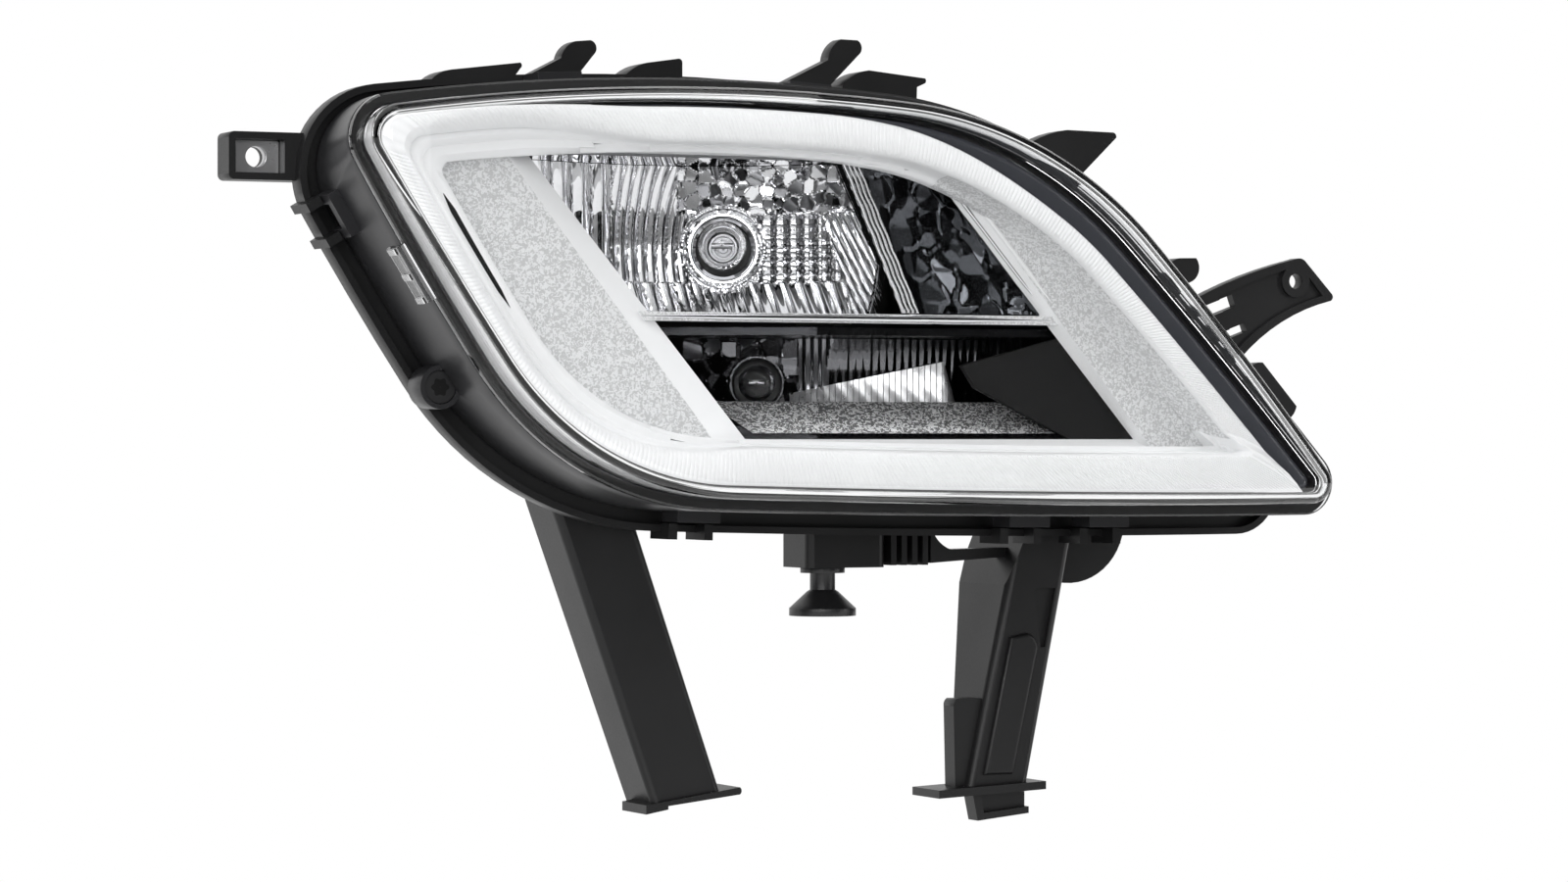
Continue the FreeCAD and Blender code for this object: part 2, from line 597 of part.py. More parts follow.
fog_boss_end = along_axis(d.pan_depth + d.fog_boss_reach, 0.0, d.fog_y)
signal_boss_end = along_axis(d.pan_depth + d.signal_boss_reach, 0.0, d.signal_y)
fog_boss = on_fog(plug("fog_boss", d.fog_boss_radius, 12.0, fog_boss_end))
signal_boss = on_signal(plug("signal_boss", d.signal_boss_radius, 10.0, signal_boss_end))
nipple = cylinder("vent_nipple", "Y", (d.vent_x, d.pan_depth - 1, d.vent_z), d.nipple_radius,
                  d.nipple_length + 1)


def pivot_post(name, left):
    """Post from the back wall of the pan to the tilt axis."""
    right = left + d.bush_length
    front = d.pivot_depth - d.post_half
    level = d.pan_depth - d.post_sink
    return on_fog(prism(name, "XY", [
        (left, front), (right, front), (right, along_axis(level, right, d.fog_y)),
        (left, along_axis(level, left, d.fog_y))], -d.post_half, d.post_half))


left_post = pivot_post("left_post_block", d.left_post)
right_post = pivot_post("right_post_block", d.right_post)
clip_boss = upright_bore("clip_boss", d.clip_seat_radius, d.block_top - 4, d.clip_seat)
posts = [left_post, right_post, clip_boss]
shell_blank = fuse("shell_blank", [flange, pan, fog_boss, signal_boss, nipple] + posts + tabs + legs + block
                   + ribs + latches)
inner_space = cut("inner_space", fuse("inner_room", [pan_hollow, flange_opening]), posts)

fog_boss_bore = d.fog_boss_radius - d.boss_wall
signal_boss_bore = d.signal_boss_radius - d.boss_wall
fog_floor = fog_boss_end - d.boss_floor
signal_floor = signal_boss_end - d.boss_floor
slot_turn = Rotation(Vector(0, 1, 0), -20)


def slot(name, x, z, width, length):
    tool = box(name, (x, x + length), (-2.0, d.bracket_thickness + 2), (z, z + width))
    tool.Placement.Rotation = slot_turn
    return tool


def cross_bar(name, radius, low, high):
    """Round bar along the tilt axis of the fog reflector."""
    bar = turned(name, "XZ", [(0.0, low), (radius, low), (radius, high), (0.0, high)])
    turn = Rotation(Vector(0, 0, 1), d.yaw.value)
    bar.Placement = FreeCAD.Placement(Vector(), turn.multiply(AXES["X"]))
    locate(bar, d.fog_x - d.pivot_depth * sine(d.yaw), d.fog_y + d.pivot_depth * cosine(d.yaw), d.fog_z)
    return bar


seal_inner = d.screw_radius + d.running_clearance
seal_outer = seal_inner + d.ring_seal_width
hole_x = d.tab_left + d.tab_hole
hole_z = d.tab_bottom + d.tab_height / 2
pocket_right = d.tab_left + d.tab_wall + d.pocket_length
bracket_pocket = cut("bracket_pocket", prism("bracket_pocket_area", "XZ", [
    (-18.9, -19.3), (8.6, -3.9, -60.0), (2.5, 3.2), (-0.2, 3.9, 2.2), (-24.6, -4.6, 148.0)],
    -2.0, d.bracket_pocket), [cylinder("bracket_boss", "Y", (0.0, -3.0, 0.0), d.bracket_boss, 10.0)])
housing = cut("rear_housing", shell_blank, [
    inner_space, left_hollow, right_hollow, right_recess, bracket_pocket,
    on_fog(plug("fog_boss_hollow", fog_boss_bore, 5.0, fog_floor)),
    on_fog(plug("fog_boss_hole", d.fog_base_radius + d.base_clearance, fog_floor - 5, fog_boss_end + 2)),
    on_signal(plug("signal_boss_hollow", signal_boss_bore, 5.0, signal_floor)),
    on_signal(plug("signal_boss_hole", d.signal_base_radius + d.base_clearance, signal_floor - 5,
                   signal_boss_end + 2)),
    cylinder("bracket_hole", "Y", (0.0, -2.0, 0.0), d.bracket_hole_radius, d.bracket_thickness + 4),
    slot("bracket_slot", -29.6, -11.0, d.slot_width, d.slot_length),
    slot("bracket_slit", -22.6, -16.6, d.slot_width - 1, d.slot_length - 3.5),
    prism("loop_window", "XZ", [(-19.5, -39.5), (-6.7, -35.7), (-4.6, -33.8, 2.2), (-10.6, -27.1),
                                (-12.4, -27.6, 1.5), (-24.5, -31.5)], -2.0, d.bracket_thickness + 2),
    box("tab_pocket", (d.tab_left + d.tab_wall, pocket_right), (-1.0, d.tab_depth - d.tab_wall),
        (d.tab_bottom + d.tab_wall, d.tab_bottom + d.tab_height - d.tab_wall)),
    cylinder("tab_hole", "Y", (hole_x, -1.0, hole_z), d.clip_hole_radius, d.tab_depth + 3),
    cylinder("frame_screw_hole", "Y", (d.boss_x, -5.0, d.boss_z), d.boss_bore, 12.0),
    cylinder("nipple_bore", "Y", (d.vent_x, d.pan_depth - 6, d.vent_z), d.nipple_radius - 1.5,
             d.nipple_length + 10),
    cross_bar("bush_seats", d.bush_radius, d.left_post - 1, d.left_post + d.bush_length + 1),
    cross_bar("bush_seat_right", d.bush_radius, d.right_post - 1, d.right_post + d.bush_length + 1),
    upright_bore("screw_bore", d.screw_radius + d.running_clearance, d.block_bottom - 2, d.clip_seat + 2),
    upright_bore("seal_bore", seal_outer, d.block_bottom - 2, d.block_bottom + d.ring_seal_height),
])
finish(housing, "rear_housing")

# Front frame between flange and lens, with snap loops and a screw boss

frame_outer = leaf_loft("frame_outer", [(frame_back, d.frame_flare, d.base_corner_round),
                                        (frame_front, 0.0, d.upper_left_round)])
frame_inner = leaf_loft("frame_inner", [(frame_back + 1, -d.frame_wall, d.base_corner_round),
                                        (frame_front - 1, -d.frame_wall, d.upper_left_round)])
snap_blocks = []
snap_windows = []
for index, (side, along) in enumerate(SNAPS, 1):
    snap_blocks.append(side_block("snap_%d" % index, side, along, 12.0, -1.0, d.snap_reach, -14.0, -4.0))
    snap_windows.append(side_block("snap_window_%d" % index, side, along, 7.0, 1.0, 9.0, -11.0, -2.0))
frame_boss = cylinder("frame_boss", "Y", (d.boss_x, -d.boss_height, d.boss_z), d.boss_radius,
                      d.boss_height - d.lip_height - d.snap_gap)
frame_blank = fuse("frame_blank", [frame_outer, frame_boss] + snap_blocks)
head_seat = cylinder("frame_screw_seat", "Y", (d.boss_x, -d.boss_height - 1, d.boss_z), 4.3, 4.0)
boss_bore = cylinder("frame_boss_bore", "Y", (d.boss_x, -d.boss_height - 1, d.boss_z), d.boss_bore, 20.0)
finish(cut("front_frame", frame_blank, [frame_inner, head_seat, boss_bore] + snap_windows), "front_frame")
frame_screw = turned("frame_screw", "XY", [
    (0.0, -d.boss_height + 0.6), (4.1, -d.boss_height + 0.6), (4.1, -d.boss_height + 3),
    (d.boss_bore - d.running_clearance, -d.boss_height + 3), (d.boss_bore - d.running_clearance, 5.0),
    (1.2, 7.0), (0.0, 7.0)])
locate(frame_screw, d.boss_x, 0.0, d.boss_z)
finish(frame_screw, "frame_screw")


def leaf_ring(name, front, back, outer, inner, corner=None):
    return cut(name, leaf_slab(name + "_outer", front, back, outer, corner=corner),
               [leaf_slab(name + "_inner", front - 1, back + 1, inner, corner=corner)])


seal_end = -d.seal_inset - d.seal_width
finish(leaf_ring("housing_seal", frame_back, 0.0, -d.seal_inset, seal_end, d.base_corner_round),
       "housing_seal")
finish(leaf_ring("lens_seal", lens_back, frame_front, -d.seal_inset, seal_end), "lens_seal")

# Lens: foot on the frame, leg inside it, domed front with a rounded edge


def dome(name, drop):
    ball = doc.addObject("Part::Sphere", name)
    bind(ball, "Radius", d.dome_radius - drop)
    locate(ball, d.dome_x, lens_back - d.lens_rise + d.dome_radius, d.dome_z)
    return ball


lens_reach = lens_back - d.lens_rise - 5
crown = common("lens_crown", [leaf_slab("lens_tower", lens_reach, lens_back, -d.lens_step),
                              dome("lens_dome", 0.0)])
crown_round = rounded("lens_crown_rounded", crown, d.lens_edge_round,
                      lambda edge: edge.BoundBox.YMax < lens_front.value - 0.5)
lens_inset = d.lens_step + d.lens_wall
hollow = common("lens_hollow", [leaf_slab("lens_core", lens_reach, lens_back + d.lens_leg + 1, -lens_inset),
                                dome("lens_inner_dome", d.lens_wall)])
hollow_round = rounded("lens_hollow_rounded", hollow, d.lens_inner_round,
                       lambda edge: edge.BoundBox.YMax < lens_front.value - 0.5)
lens_foot = leaf_slab("lens_foot", lens_front, lens_back, 0.0)
lens_leg = leaf_slab("lens_leg", lens_back - 1, lens_back + d.lens_leg, -d.lens_step - d.lens_leg_gap,
                     corner=d.leg_corner_round)
lens_tab = side_block("lens_tab", "left", -12.5, 16.0, -1.5, 1.6, lens_front, lens_back)
finish(cut("lens", fuse("lens_blank", [crown_round, lens_foot, lens_leg, lens_tab]), [hollow_round]), "lens")

# Trim bezel: skirt on the flange, serrated band, panels, sloped strips round the opening, divider bar

band_blank = leaf_slab("band_blank", d.band_front, d.band_back, -d.band_outer_inset)
band = rounded("band", band_blank, d.band_round,
               lambda edge: edge.BoundBox.YMax < d.band_front.value + 0.01)
skirt = leaf_slab("trim_skirt", d.band_back - 1, 0.0, -d.skirt_inset, corner=d.base_corner_round)
skirt_hollow = leaf_slab("trim_skirt_hollow", d.band_back, 1.0, -d.skirt_inset - d.trim_wall,
                         corner=d.base_corner_round)
band_hole = leaf_slab("band_hole", d.band_front - 1, d.band_back + 1, -d.band_inner_inset)
step = leaf_ring("trim_step", d.band_front + 2, d.panel_front + d.panel_thickness, -d.band_inner_inset,
                 -d.band_inner_inset - d.trim_wall)
panel = leaf_slab("trim_panel", d.panel_front, d.panel_front + d.panel_thickness, -d.band_inner_inset - 0.5)


def opening_points(left, bottom, right, top):
    """Corners of the leaning opening, with each edge moved outwards by its own amount."""
    return [(d.opening_top_left - left, d.opening_top + top),
            (d.opening_bottom_left - left, d.opening_bottom - bottom),
            (d.opening_bottom_right + right, d.opening_bottom - bottom),
            (d.opening_top_right + right, d.opening_top + top)]


def opening(name, left, bottom, right, top, front, back):
    return prism(name, "XZ", opening_points(left, bottom, right, top), front, back)


def opening_sketch(name, level, left, bottom, right, top):
    return outline(blank_sketch(name, "XZ", level), opening_points(left, bottom, right, top))


def opening_right(z):
    """Right edge of the opening at a height."""
    lean = (d.opening_top_right - d.opening_bottom_right) / (d.opening_top - d.opening_bottom)
    return d.opening_bottom_right + (z - d.opening_bottom) * lean


strip_block = common("strip_block", [
    opening("strip_prism", 11.0, 4.5, 6.0, 3.0, d.panel_front + 0.5, strip_back),
    leaf_slab("strip_limit", d.panel_front, strip_back, -d.band_inner_inset - 0.5)])
strip_hole = doc.addObject("Part::Loft", "strip_hole")
strip_hole.Sections = [opening_sketch("strip_hole_front", d.panel_front - 0.5, 9.6, 3.2, 4.4, 1.6),
                       opening_sketch("strip_hole_back", strip_back + 0.01, 0.0, 0.0, 0.0, 0.0)]
strip_hole.Solid = True
strip_hole.Ruled = True
bar_back = d.panel_front + d.bar_depth
bar = box("divider_bar", (d.opening_top_left, d.opening_bottom_right), (d.panel_front + 1, bar_back),
          (d.bar_top - d.bar_height, d.bar_top))
bar_limit = opening("bar_limit", 3.0, 3.0, 3.0, 3.0, d.panel_front - 1, bar_back + 1)
band_ring = cut("band_ring", fuse("band_skirt", [band, skirt]), [skirt_hollow, band_hole])
trim_solid = cut("trim_solid", fuse("trim_blank", [band_ring, step, panel, strip_block]), [strip_hole])
finish(fuse("trim_bezel", [trim_solid, common("divider", [bar, bar_limit])]), "trim_bezel")

# Dark plates behind the bezel

mask_low = d.bar_top + d.mask_gap
mask_area = prism("mask_area", "XZ", [
    (d.mask_low_left, mask_low), (opening_right(mask_low) + d.plate_cover, mask_low),
    (opening_right(d.mask_top) + d.plate_cover, d.mask_top), (d.mask_top_left, d.mask_top)],
    strip_back, plate_back)
plate_inset = d.skirt_inset + 2
mask_limit = leaf_slab("mask_limit", strip_back - 1, plate_back + 1, -plate_inset)
finish(common("side_mask", [mask_area, mask_limit]), "side_mask")
blank_area = prism("blank_area", "XZ", [
    (d.plate_foot_x, d.plate_foot_z), (d.plate_right, d.plate_foot_z), (d.plate_top_x, d.plate_top_z),
    (d.plate_tip_x, d.plate_tip_z), (d.plate_nose_x, d.plate_nose_z)], strip_back, plate_back)
blank_limit = leaf_slab("blank_limit", strip_back - 1, plate_back + 1, -plate_inset)
finish(common("blanking_plate", [blank_area, blank_limit]), "blanking_plate")

# Fog reflector: a paraboloid within a leaning box, with pivot bosses and an arm for the aim nut

shift_x = d.screw_x - d.fog_x
shift_y = d.screw_y - d.fog_y
arm_x = shift_x * cosine(d.yaw) + shift_y * sine(d.yaw)
arm_y = shift_y * cosine(d.yaw) - shift_x * sine(d.yaw)
arm_low = d.nut_bottom + d.nut_flange_height - d.fog_z
arm_high = arm_low + d.arm_height
wall = d.cup_wall
fog_outer = common("fog_outer", [
    bowl("fog_outer_bowl", d.fog_focus, d.fog_reach, d.mirror_wall),
    prism("fog_outer_box", "XZ", [(d.fog_left, d.fog_low), (d.fog_right_low, d.fog_low),
                                  (d.fog_right_high, d.fog_high), (d.fog_left, d.fog_high)],
          -d.clearing, 2 * d.mirror_wall)])
fog_inner = common("fog_inner", [
    bowl("fog_inner_bowl", d.fog_focus, d.fog_reach, size(0.0)),
    prism("fog_inner_box", "XZ", [
        (d.fog_left + wall, d.fog_low + wall), (d.fog_right_low - wall * 1.9, d.fog_low + wall),
        (d.fog_right_high - wall * 0.3, d.fog_high - wall), (d.fog_left + wall, d.fog_high - wall)],
        -d.clearing - 1, 2 * d.mirror_wall)])
half_arm = d.arm_width / 2
fog_arm = prism("fog_arm", "XY", [
    (9.0, -14.0), (21.0, -14.0), (arm_x + half_arm, arm_y), (arm_x - half_arm, arm_y)], arm_low, arm_high)
fog_ring = cylinder("fog_arm_ring", "Z", (arm_x, arm_y, arm_low), d.arm_ring, d.arm_height)
boss_round = d.bush_radius + 0.5
fog_left = cylinder("fog_left_boss", "X", (d.left_pin_end - 7, d.pivot_depth, 0.0), boss_round, 17.0)
fog_right = cylinder("fog_right_boss", "X", (d.right_pin_end - 8, d.pivot_depth, 0.0), boss_round, 13.5)
fog_neck = plug("fog_neck", d.fog_hole_radius + 2, -1.0, 5.0)
fog_cup = cut("fog_cup", fuse("fog_solid", [fog_outer, fog_arm, fog_ring, fog_left, fog_right, fog_neck]), [
    fog_inner, plug("fog_hole", d.fog_hole_radius, -10.0, 8.0),
    cylinder("nut_hole", "Z", (arm_x, arm_y, arm_low - 1), d.nut_radius, d.arm_height + 2),
    cylinder("left_pin_hole", "X", (d.left_pin_end - 10, d.pivot_depth, 0.0), d.pin_radius, 10.0),
    cylinder("right_pin_hole", "X", (d.right_pin_end, d.pivot_depth, 0.0), d.pin_radius, 20.0)])
on_fog(fog_cup)
fog_front = box("fog_front", (d.fog_x - d.clearing, d.fog_x + d.clearing), (-d.clearing, d.fog_mouth),
                (-d.clearing, d.clearing))
finish(cut("fog_reflector", fog_cup, [fog_front]), "fog_reflector")

pin_radius = d.pin_radius
finish(group("pivot_pins", [
    cross_bar("left_pin", pin_radius, d.left_post, d.left_pin_end),
    cross_bar("right_pin", pin_radius, d.right_pin_end, d.right_post + d.bush_length)]), "pivot_pins")


def bush(name, low):
    ring = washer(name, "XZ", d.pin_radius + d.running_clearance, d.bush_radius, low, low + d.bush_length)
    turn = Rotation(Vector(0, 0, 1), d.yaw.value)
    ring.Placement = FreeCAD.Placement(Vector(), turn.multiply(AXES["X"]))
    locate(ring, d.fog_x - d.pivot_depth * sine(d.yaw), d.fog_y + d.pivot_depth * cosine(d.yaw), d.fog_z)
    return ring


finish(group("pivot_bushes", [bush("left_bush", d.left_post), bush("right_bush", d.right_post)]),
       "pivot_bushes")

# Aim screw with its knob, seal, clip and nut

screw = turned("aim_screw_turned", "XZ", [
    (0.0, d.knob_bottom + 5), (5.6, d.knob_bottom + 3.2), (d.knob_radius - d.knob_rim, d.knob_bottom),
    (d.knob_radius, d.knob_bottom), (d.knob_radius, d.knob_bottom + 2), (4.2, d.knob_bottom + 6.5),
    (d.screw_radius, d.knob_bottom + 7), (d.screw_radius, d.block_bottom - d.collar_thickness),
    (d.collar_radius, d.block_bottom - d.collar_thickness), (d.collar_radius, d.block_bottom),
    (d.screw_radius, d.block_bottom), (d.screw_radius, d.clip_seat),
    (d.thread_radius - d.clip_groove, d.clip_seat),
    (d.thread_radius - d.clip_groove, d.clip_seat + d.clip_height),
    (d.thread_radius, d.clip_seat + d.clip_height), (d.thread_radius, d.thread_top - 1),
    (d.thread_radius - 0.8, d.thread_top), (0.0, d.thread_top)])
locate(screw, d.screw_x, d.screw_y, 0.0)
finish(screw, "aim_screw")
screw_seal = washer("aim_screw_seal", "XZ", seal_inner, seal_outer, d.block_bottom,
                    d.block_bottom + d.ring_seal_height)
locate(screw_seal, d.screw_x, d.screw_y, 0.0)
finish(screw_seal, "aim_screw_seal")
clip = washer("aim_clip", "XZ", d.thread_radius - d.clip_groove, d.clip_radius, d.clip_seat,
              d.clip_seat + d.clip_height)
locate(clip, d.screw_x, d.screw_y, 0.0)
finish(clip, "aim_clip")
nut_shoulder = d.nut_bottom + d.nut_flange_height
nut_top = nut_shoulder + d.arm_height + 1
nut_body = turned("aim_nut_body", "XZ", [
    (0.0, d.nut_bottom), (d.nut_flange, d.nut_bottom), (d.nut_flange, nut_shoulder),
    (d.nut_radius, nut_shoulder), (d.nut_radius, nut_top), (0.0, nut_top)])
bore = d.thread_radius + d.nut_clearance
nut_bore = prism("aim_nut_bore", "XY", [
    (bore, -d.nut_slot, bore + d.nut_arc_slack), (bore, d.nut_slot),
    (-bore, d.nut_slot, bore + d.nut_arc_slack), (-bore, -d.nut_slot)],
    d.nut_bottom - 1, nut_top + 1)
finish(optical(cut("aim_nut", nut_body, [nut_bore]), d.screw_x, d.screw_y, 0.0), "aim_nut")

# Signal reflector: a bowl round the bulb, a trough beside it with a sloped ledge, and a neck for the boss

signal_floor_level = d.signal_z + d.signal_low
signal_roof_level = d.signal_z + d.signal_high


def trough(name, inset, front, left, right):
    """Trough along X with a curved back, the walls moved inwards by an inset."""
    low = signal_floor_level + inset
    high = signal_roof_level - inset
    back = d.trough_back + d.mirror_wall - inset
    profile = [(front, low), (back, low), (back, high, d.trough_radius), (front, high)]
    return prism(name, "YZ", profile, left, right)


bowl_outer = common("signal_outer", [
    bowl("signal_outer_bowl", d.signal_focus, d.signal_reach, d.mirror_wall),
    prism("signal_outer_box", "XZ", [(d.signal_left, d.signal_low), (d.signal_right, d.signal_low),
                                     (d.signal_right, d.signal_high), (d.signal_left, d.signal_high)],
          -d.clearing / 2, 2 * d.mirror_wall)])
bowl_inner = common("signal_inner", [
    bowl("signal_inner_bowl", d.signal_focus, d.signal_reach, size(0.0)),
    prism("signal_inner_box", "XZ", [
        (d.signal_left + wall, d.signal_low + wall), (d.signal_right, d.signal_low + wall),
        (d.signal_right, d.signal_high - wall), (d.signal_left + wall, d.signal_high - wall)],
        -d.clearing / 2 - 1, 2 * d.mirror_wall)])
trough_outer = trough("trough_outer", size(0.0), plate_back, d.trough_left, d.trough_right + wall)
trough_inner = trough("trough_inner", wall, plate_back - 1, d.trough_left, d.trough_right)
signal_neck = plug("signal_neck", signal_boss_bore - d.base_clearance, 1.0, signal_floor)
signal_bowl = on_signal(fuse("signal_bowl", [bowl_outer, signal_neck]))
signal_tools = on_signal(fuse("signal_tools", [
    bowl_inner, plug("signal_hole", d.signal_hole_radius, -10.0, 10.0),
    plug("signal_neck_hole", d.signal_base_radius + 0.6, d.mirror_wall + 1, signal_floor + 5)]))
signal_front = box("signal_front", (d.signal_x - d.clearing, d.signal_x + d.clearing),
                   (-d.clearing, plate_back), (-d.clearing, d.clearing))
signal_solid = cut("signal_solid", fuse("signal_blank", [signal_bowl, trough_outer]), [signal_front])
signal_cup = cut("signal_cup", signal_solid, [signal_tools, trough_inner])
ledge = prism("ledge", "YZ", [
    (plate_back, signal_floor_level), (d.trough_back, d.ledge_top - wall), (d.trough_back, d.ledge_top),
    (plate_back, signal_floor_level + wall)], d.ledge_left, d.trough_right + wall)
signal_ledge = common("signal_ledge", [ledge, signal_solid])
finish(fuse("signal_reflector", [signal_cup, signal_ledge]), "signal_reflector")

# Bulbs: glass, filament, base with socket, contacts and seal


def bulb(name, stand, radius, tip, foot, coil, neck, flange_radius, boss_end, floor, socket_x, socket_z):
    inner = radius - d.glass_wall
    glass = stand(turned(name + "_glass", "XY", [
        (inner, foot), (radius, foot), (radius, tip + radius), (0.0, tip, -radius),
        (0.0, tip + d.glass_wall), (inner, tip + radius, inner)]))
    finish(glass, name + "_glass")
    lead = inner * 0.45
    filament = fuse(name + "_filament", [
        cylinder(name + "_lead_one", "Y", (-lead, coil, 0.0), 0.35, foot - coil),
        cylinder(name + "_lead_two", "Y", (lead, coil, 0.0), 0.35, foot - coil),
        cylinder(name + "_coil", "X", (-lead - 0.3, coil, 0.0), 0.8, 2 * lead + 0.6)])
    finish(stand(filament), name + "_filament")
    seat = boss_end + d.base_seal
    back = seat + d.base_flange
    stem = turned(name + "_stem", "XY", [
        (0.0, foot), (neck - 1.8, foot), (neck - 1.8, floor - 1), (neck, floor - 1), (neck, seat),
        (flange_radius, seat), (flange_radius, back), (0.0, back)])
    socket = box(name + "_socket", (-socket_x, socket_x), (back - 1, back + d.socket_length),
                 (-socket_z, socket_z))
    rib_low = flange_radius - 1
    grips = [box(name + "_grip_one", (rib_low, rib_low + 2.5), (seat, back), (-2.0, 2.0)),
             box(name + "_grip_two", (-rib_low - 2.5, -rib_low), (seat, back), (-2.0, 2.0))]
    key = box(name + "_key", (-2.0, 2.0), (back + 6, back + d.socket_length), (socket_z - 0.5, socket_z + 2))
    wall = d.socket_wall
    mouth = box(name + "_mouth", (-socket_x + wall, socket_x - wall), (back + 2, back + d.socket_length + 1),
                (-socket_z + wall, socket_z - wall))
    base = cut(name + "_base", fuse(name + "_base_blank", [stem, socket, key] + grips), [mouth])
    finish(stand(base), name + "_base")
    wide = d.blade_width / 2
    thin = d.blade_thickness / 2
    blades = [box(name + "_blade_%d" % (index + 1), (x - wide, x + wide),
                  (back + 2, back + d.socket_length - 4), (-thin, thin))
              for index, x in enumerate((-socket_x / 2.4, socket_x / 2.4))]
    finish(stand(group(name + "_contacts", blades)), name + "_contacts")
    seal = stand(washer(name + "_seal", "XY", neck, flange_radius - 1.2, boss_end, seat))
    finish(seal, name + "_seal")


bulb("fog_bulb", on_fog, d.fog_glass_radius, d.fog_glass_tip, d.fog_glass_foot, -d.fog_focus,
     d.fog_base_radius, d.fog_flange_radius, fog_boss_end, fog_floor, size(10.0), size(7.0))
bulb("signal_bulb", on_signal, d.signal_glass_radius, d.signal_glass_tip, d.signal_glass_foot, size(-11.0),
     d.signal_base_radius, d.signal_flange_radius, signal_boss_end, signal_floor, size(8.0), size(6.8))

# Breather cap and clip nut

vent = turned("vent_cap", "XY", [
    (d.nipple_radius, d.pan_depth), (d.cap_radius - 1, d.pan_depth), (d.cap_radius, d.pan_depth + 1),
    (d.cap_radius, d.pan_depth + d.cap_length - 2), (d.cap_radius - 2, d.pan_depth + d.cap_length),
    (0.0, d.pan_depth + d.cap_length), (0.0, d.pan_depth + d.nipple_length),
    (d.nipple_radius, d.pan_depth + d.nipple_length)])
locate(vent, d.vent_x, 0.0, d.vent_z)
finish(vent, "vent_cap")
pocket_back = d.tab_depth - d.tab_wall
clip_plate = box("clip_blank", (d.tab_left + d.tab_wall, pocket_right),
                 (pocket_back - d.clip_plate, pocket_back),
                 (d.tab_bottom + d.tab_wall, d.tab_bottom + d.tab_height - d.tab_wall))
clip_hole = cylinder("clip_hole", "Y", (hole_x, -1.0, hole_z), d.clip_hole_radius, 15.0)
finish(cut("tab_clip_nut", clip_plate, [clip_hole]), "tab_clip_nut")

doc.recompute()
broken = ["%s: %s" % (thing.Label, thing.getStatusString()) for thing in doc.Objects
          if "Invalid" in thing.State or "Error" in thing.State]
if broken:
    raise RuntimeError("did not build: " + "; ".join(broken))
for piece in pieces:
    shape = piece.Shape
    if shape.isNull() or not shape.isValid() or not shape.Solids:
        raise RuntimeError("%s has no valid solid" % piece.Label)
    shape.exportStep("parts/%s.step" % piece.Label)
    print("%-20s solids %d volume %.0f" % (piece.Label, len(shape.Solids), shape.Volume))
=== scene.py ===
# %% [markdown]
# # An auxiliary driving light
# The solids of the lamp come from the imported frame, already in metres and in place.
# This lesson gives each of them its finish, and adds the fine optical forms that moulded
# lamp parts have: a serrated trim band, a fluted mirror, a stippled floor and a smooth clear lens.

import math

import bmesh
import bpy
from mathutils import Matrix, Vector


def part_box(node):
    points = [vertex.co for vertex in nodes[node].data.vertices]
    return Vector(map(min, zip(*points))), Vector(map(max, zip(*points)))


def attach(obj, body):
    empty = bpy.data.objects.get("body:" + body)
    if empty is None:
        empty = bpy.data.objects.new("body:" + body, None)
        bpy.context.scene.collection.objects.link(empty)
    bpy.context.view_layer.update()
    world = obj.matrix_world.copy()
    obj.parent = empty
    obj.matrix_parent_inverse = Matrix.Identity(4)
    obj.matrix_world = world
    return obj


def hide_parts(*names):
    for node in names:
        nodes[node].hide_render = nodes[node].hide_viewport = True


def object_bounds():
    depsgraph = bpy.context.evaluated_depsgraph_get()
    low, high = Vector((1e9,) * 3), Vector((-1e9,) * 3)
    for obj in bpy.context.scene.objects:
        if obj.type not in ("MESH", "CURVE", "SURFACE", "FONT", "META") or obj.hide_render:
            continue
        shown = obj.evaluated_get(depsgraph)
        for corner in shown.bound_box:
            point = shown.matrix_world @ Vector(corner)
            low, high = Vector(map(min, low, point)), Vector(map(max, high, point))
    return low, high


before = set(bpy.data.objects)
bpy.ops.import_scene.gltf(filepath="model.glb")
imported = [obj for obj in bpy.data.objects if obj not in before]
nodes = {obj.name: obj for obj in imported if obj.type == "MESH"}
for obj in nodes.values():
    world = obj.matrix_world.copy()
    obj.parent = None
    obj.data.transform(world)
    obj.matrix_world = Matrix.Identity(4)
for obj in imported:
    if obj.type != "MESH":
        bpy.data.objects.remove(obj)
cad_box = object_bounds()
MM = 0.001
print("nodes:", len(nodes), "box:", [[round(v, 4) for v in corner] for corner in cad_box])

# %% [markdown]
# ## Shared surface effects
# Moulded plastic is never one flat value: its sheen shifts a little over large areas and its skin has a fine grain.
# The light trim also has a grain of short worms, and only on the flat panels that face the front. Both effects could
# be painted on an unwrapped surface, but noise in object space needs no unwrapping and fits every piece. They are
# node groups that put out a colour, a roughness and a height, and each material feeds them to its own shader.

# %% Helpers for node groups
def new_group(name, inputs, outputs):
    group = bpy.data.node_groups.new(name, "ShaderNodeTree")
    for label, kind, value in inputs:
        socket = group.interface.new_socket(label, in_out="INPUT", socket_type=kind)
        socket.default_value = value
    for label, kind in outputs:
        group.interface.new_socket(label, in_out="OUTPUT", socket_type=kind)
    return group, group.nodes.new("NodeGroupInput"), group.nodes.new("NodeGroupOutput")


def math_node(tree, kind, first, second):
    node = tree.nodes.new("ShaderNodeMath")
    node.operation = kind
    for slot, value in zip(node.inputs, (first, second)):
        if isinstance(value, (int, float)):
            slot.default_value = value
        else:
            tree.links.new(value, slot)
    return node.outputs[0]


print("helpers: new_group, math_node")

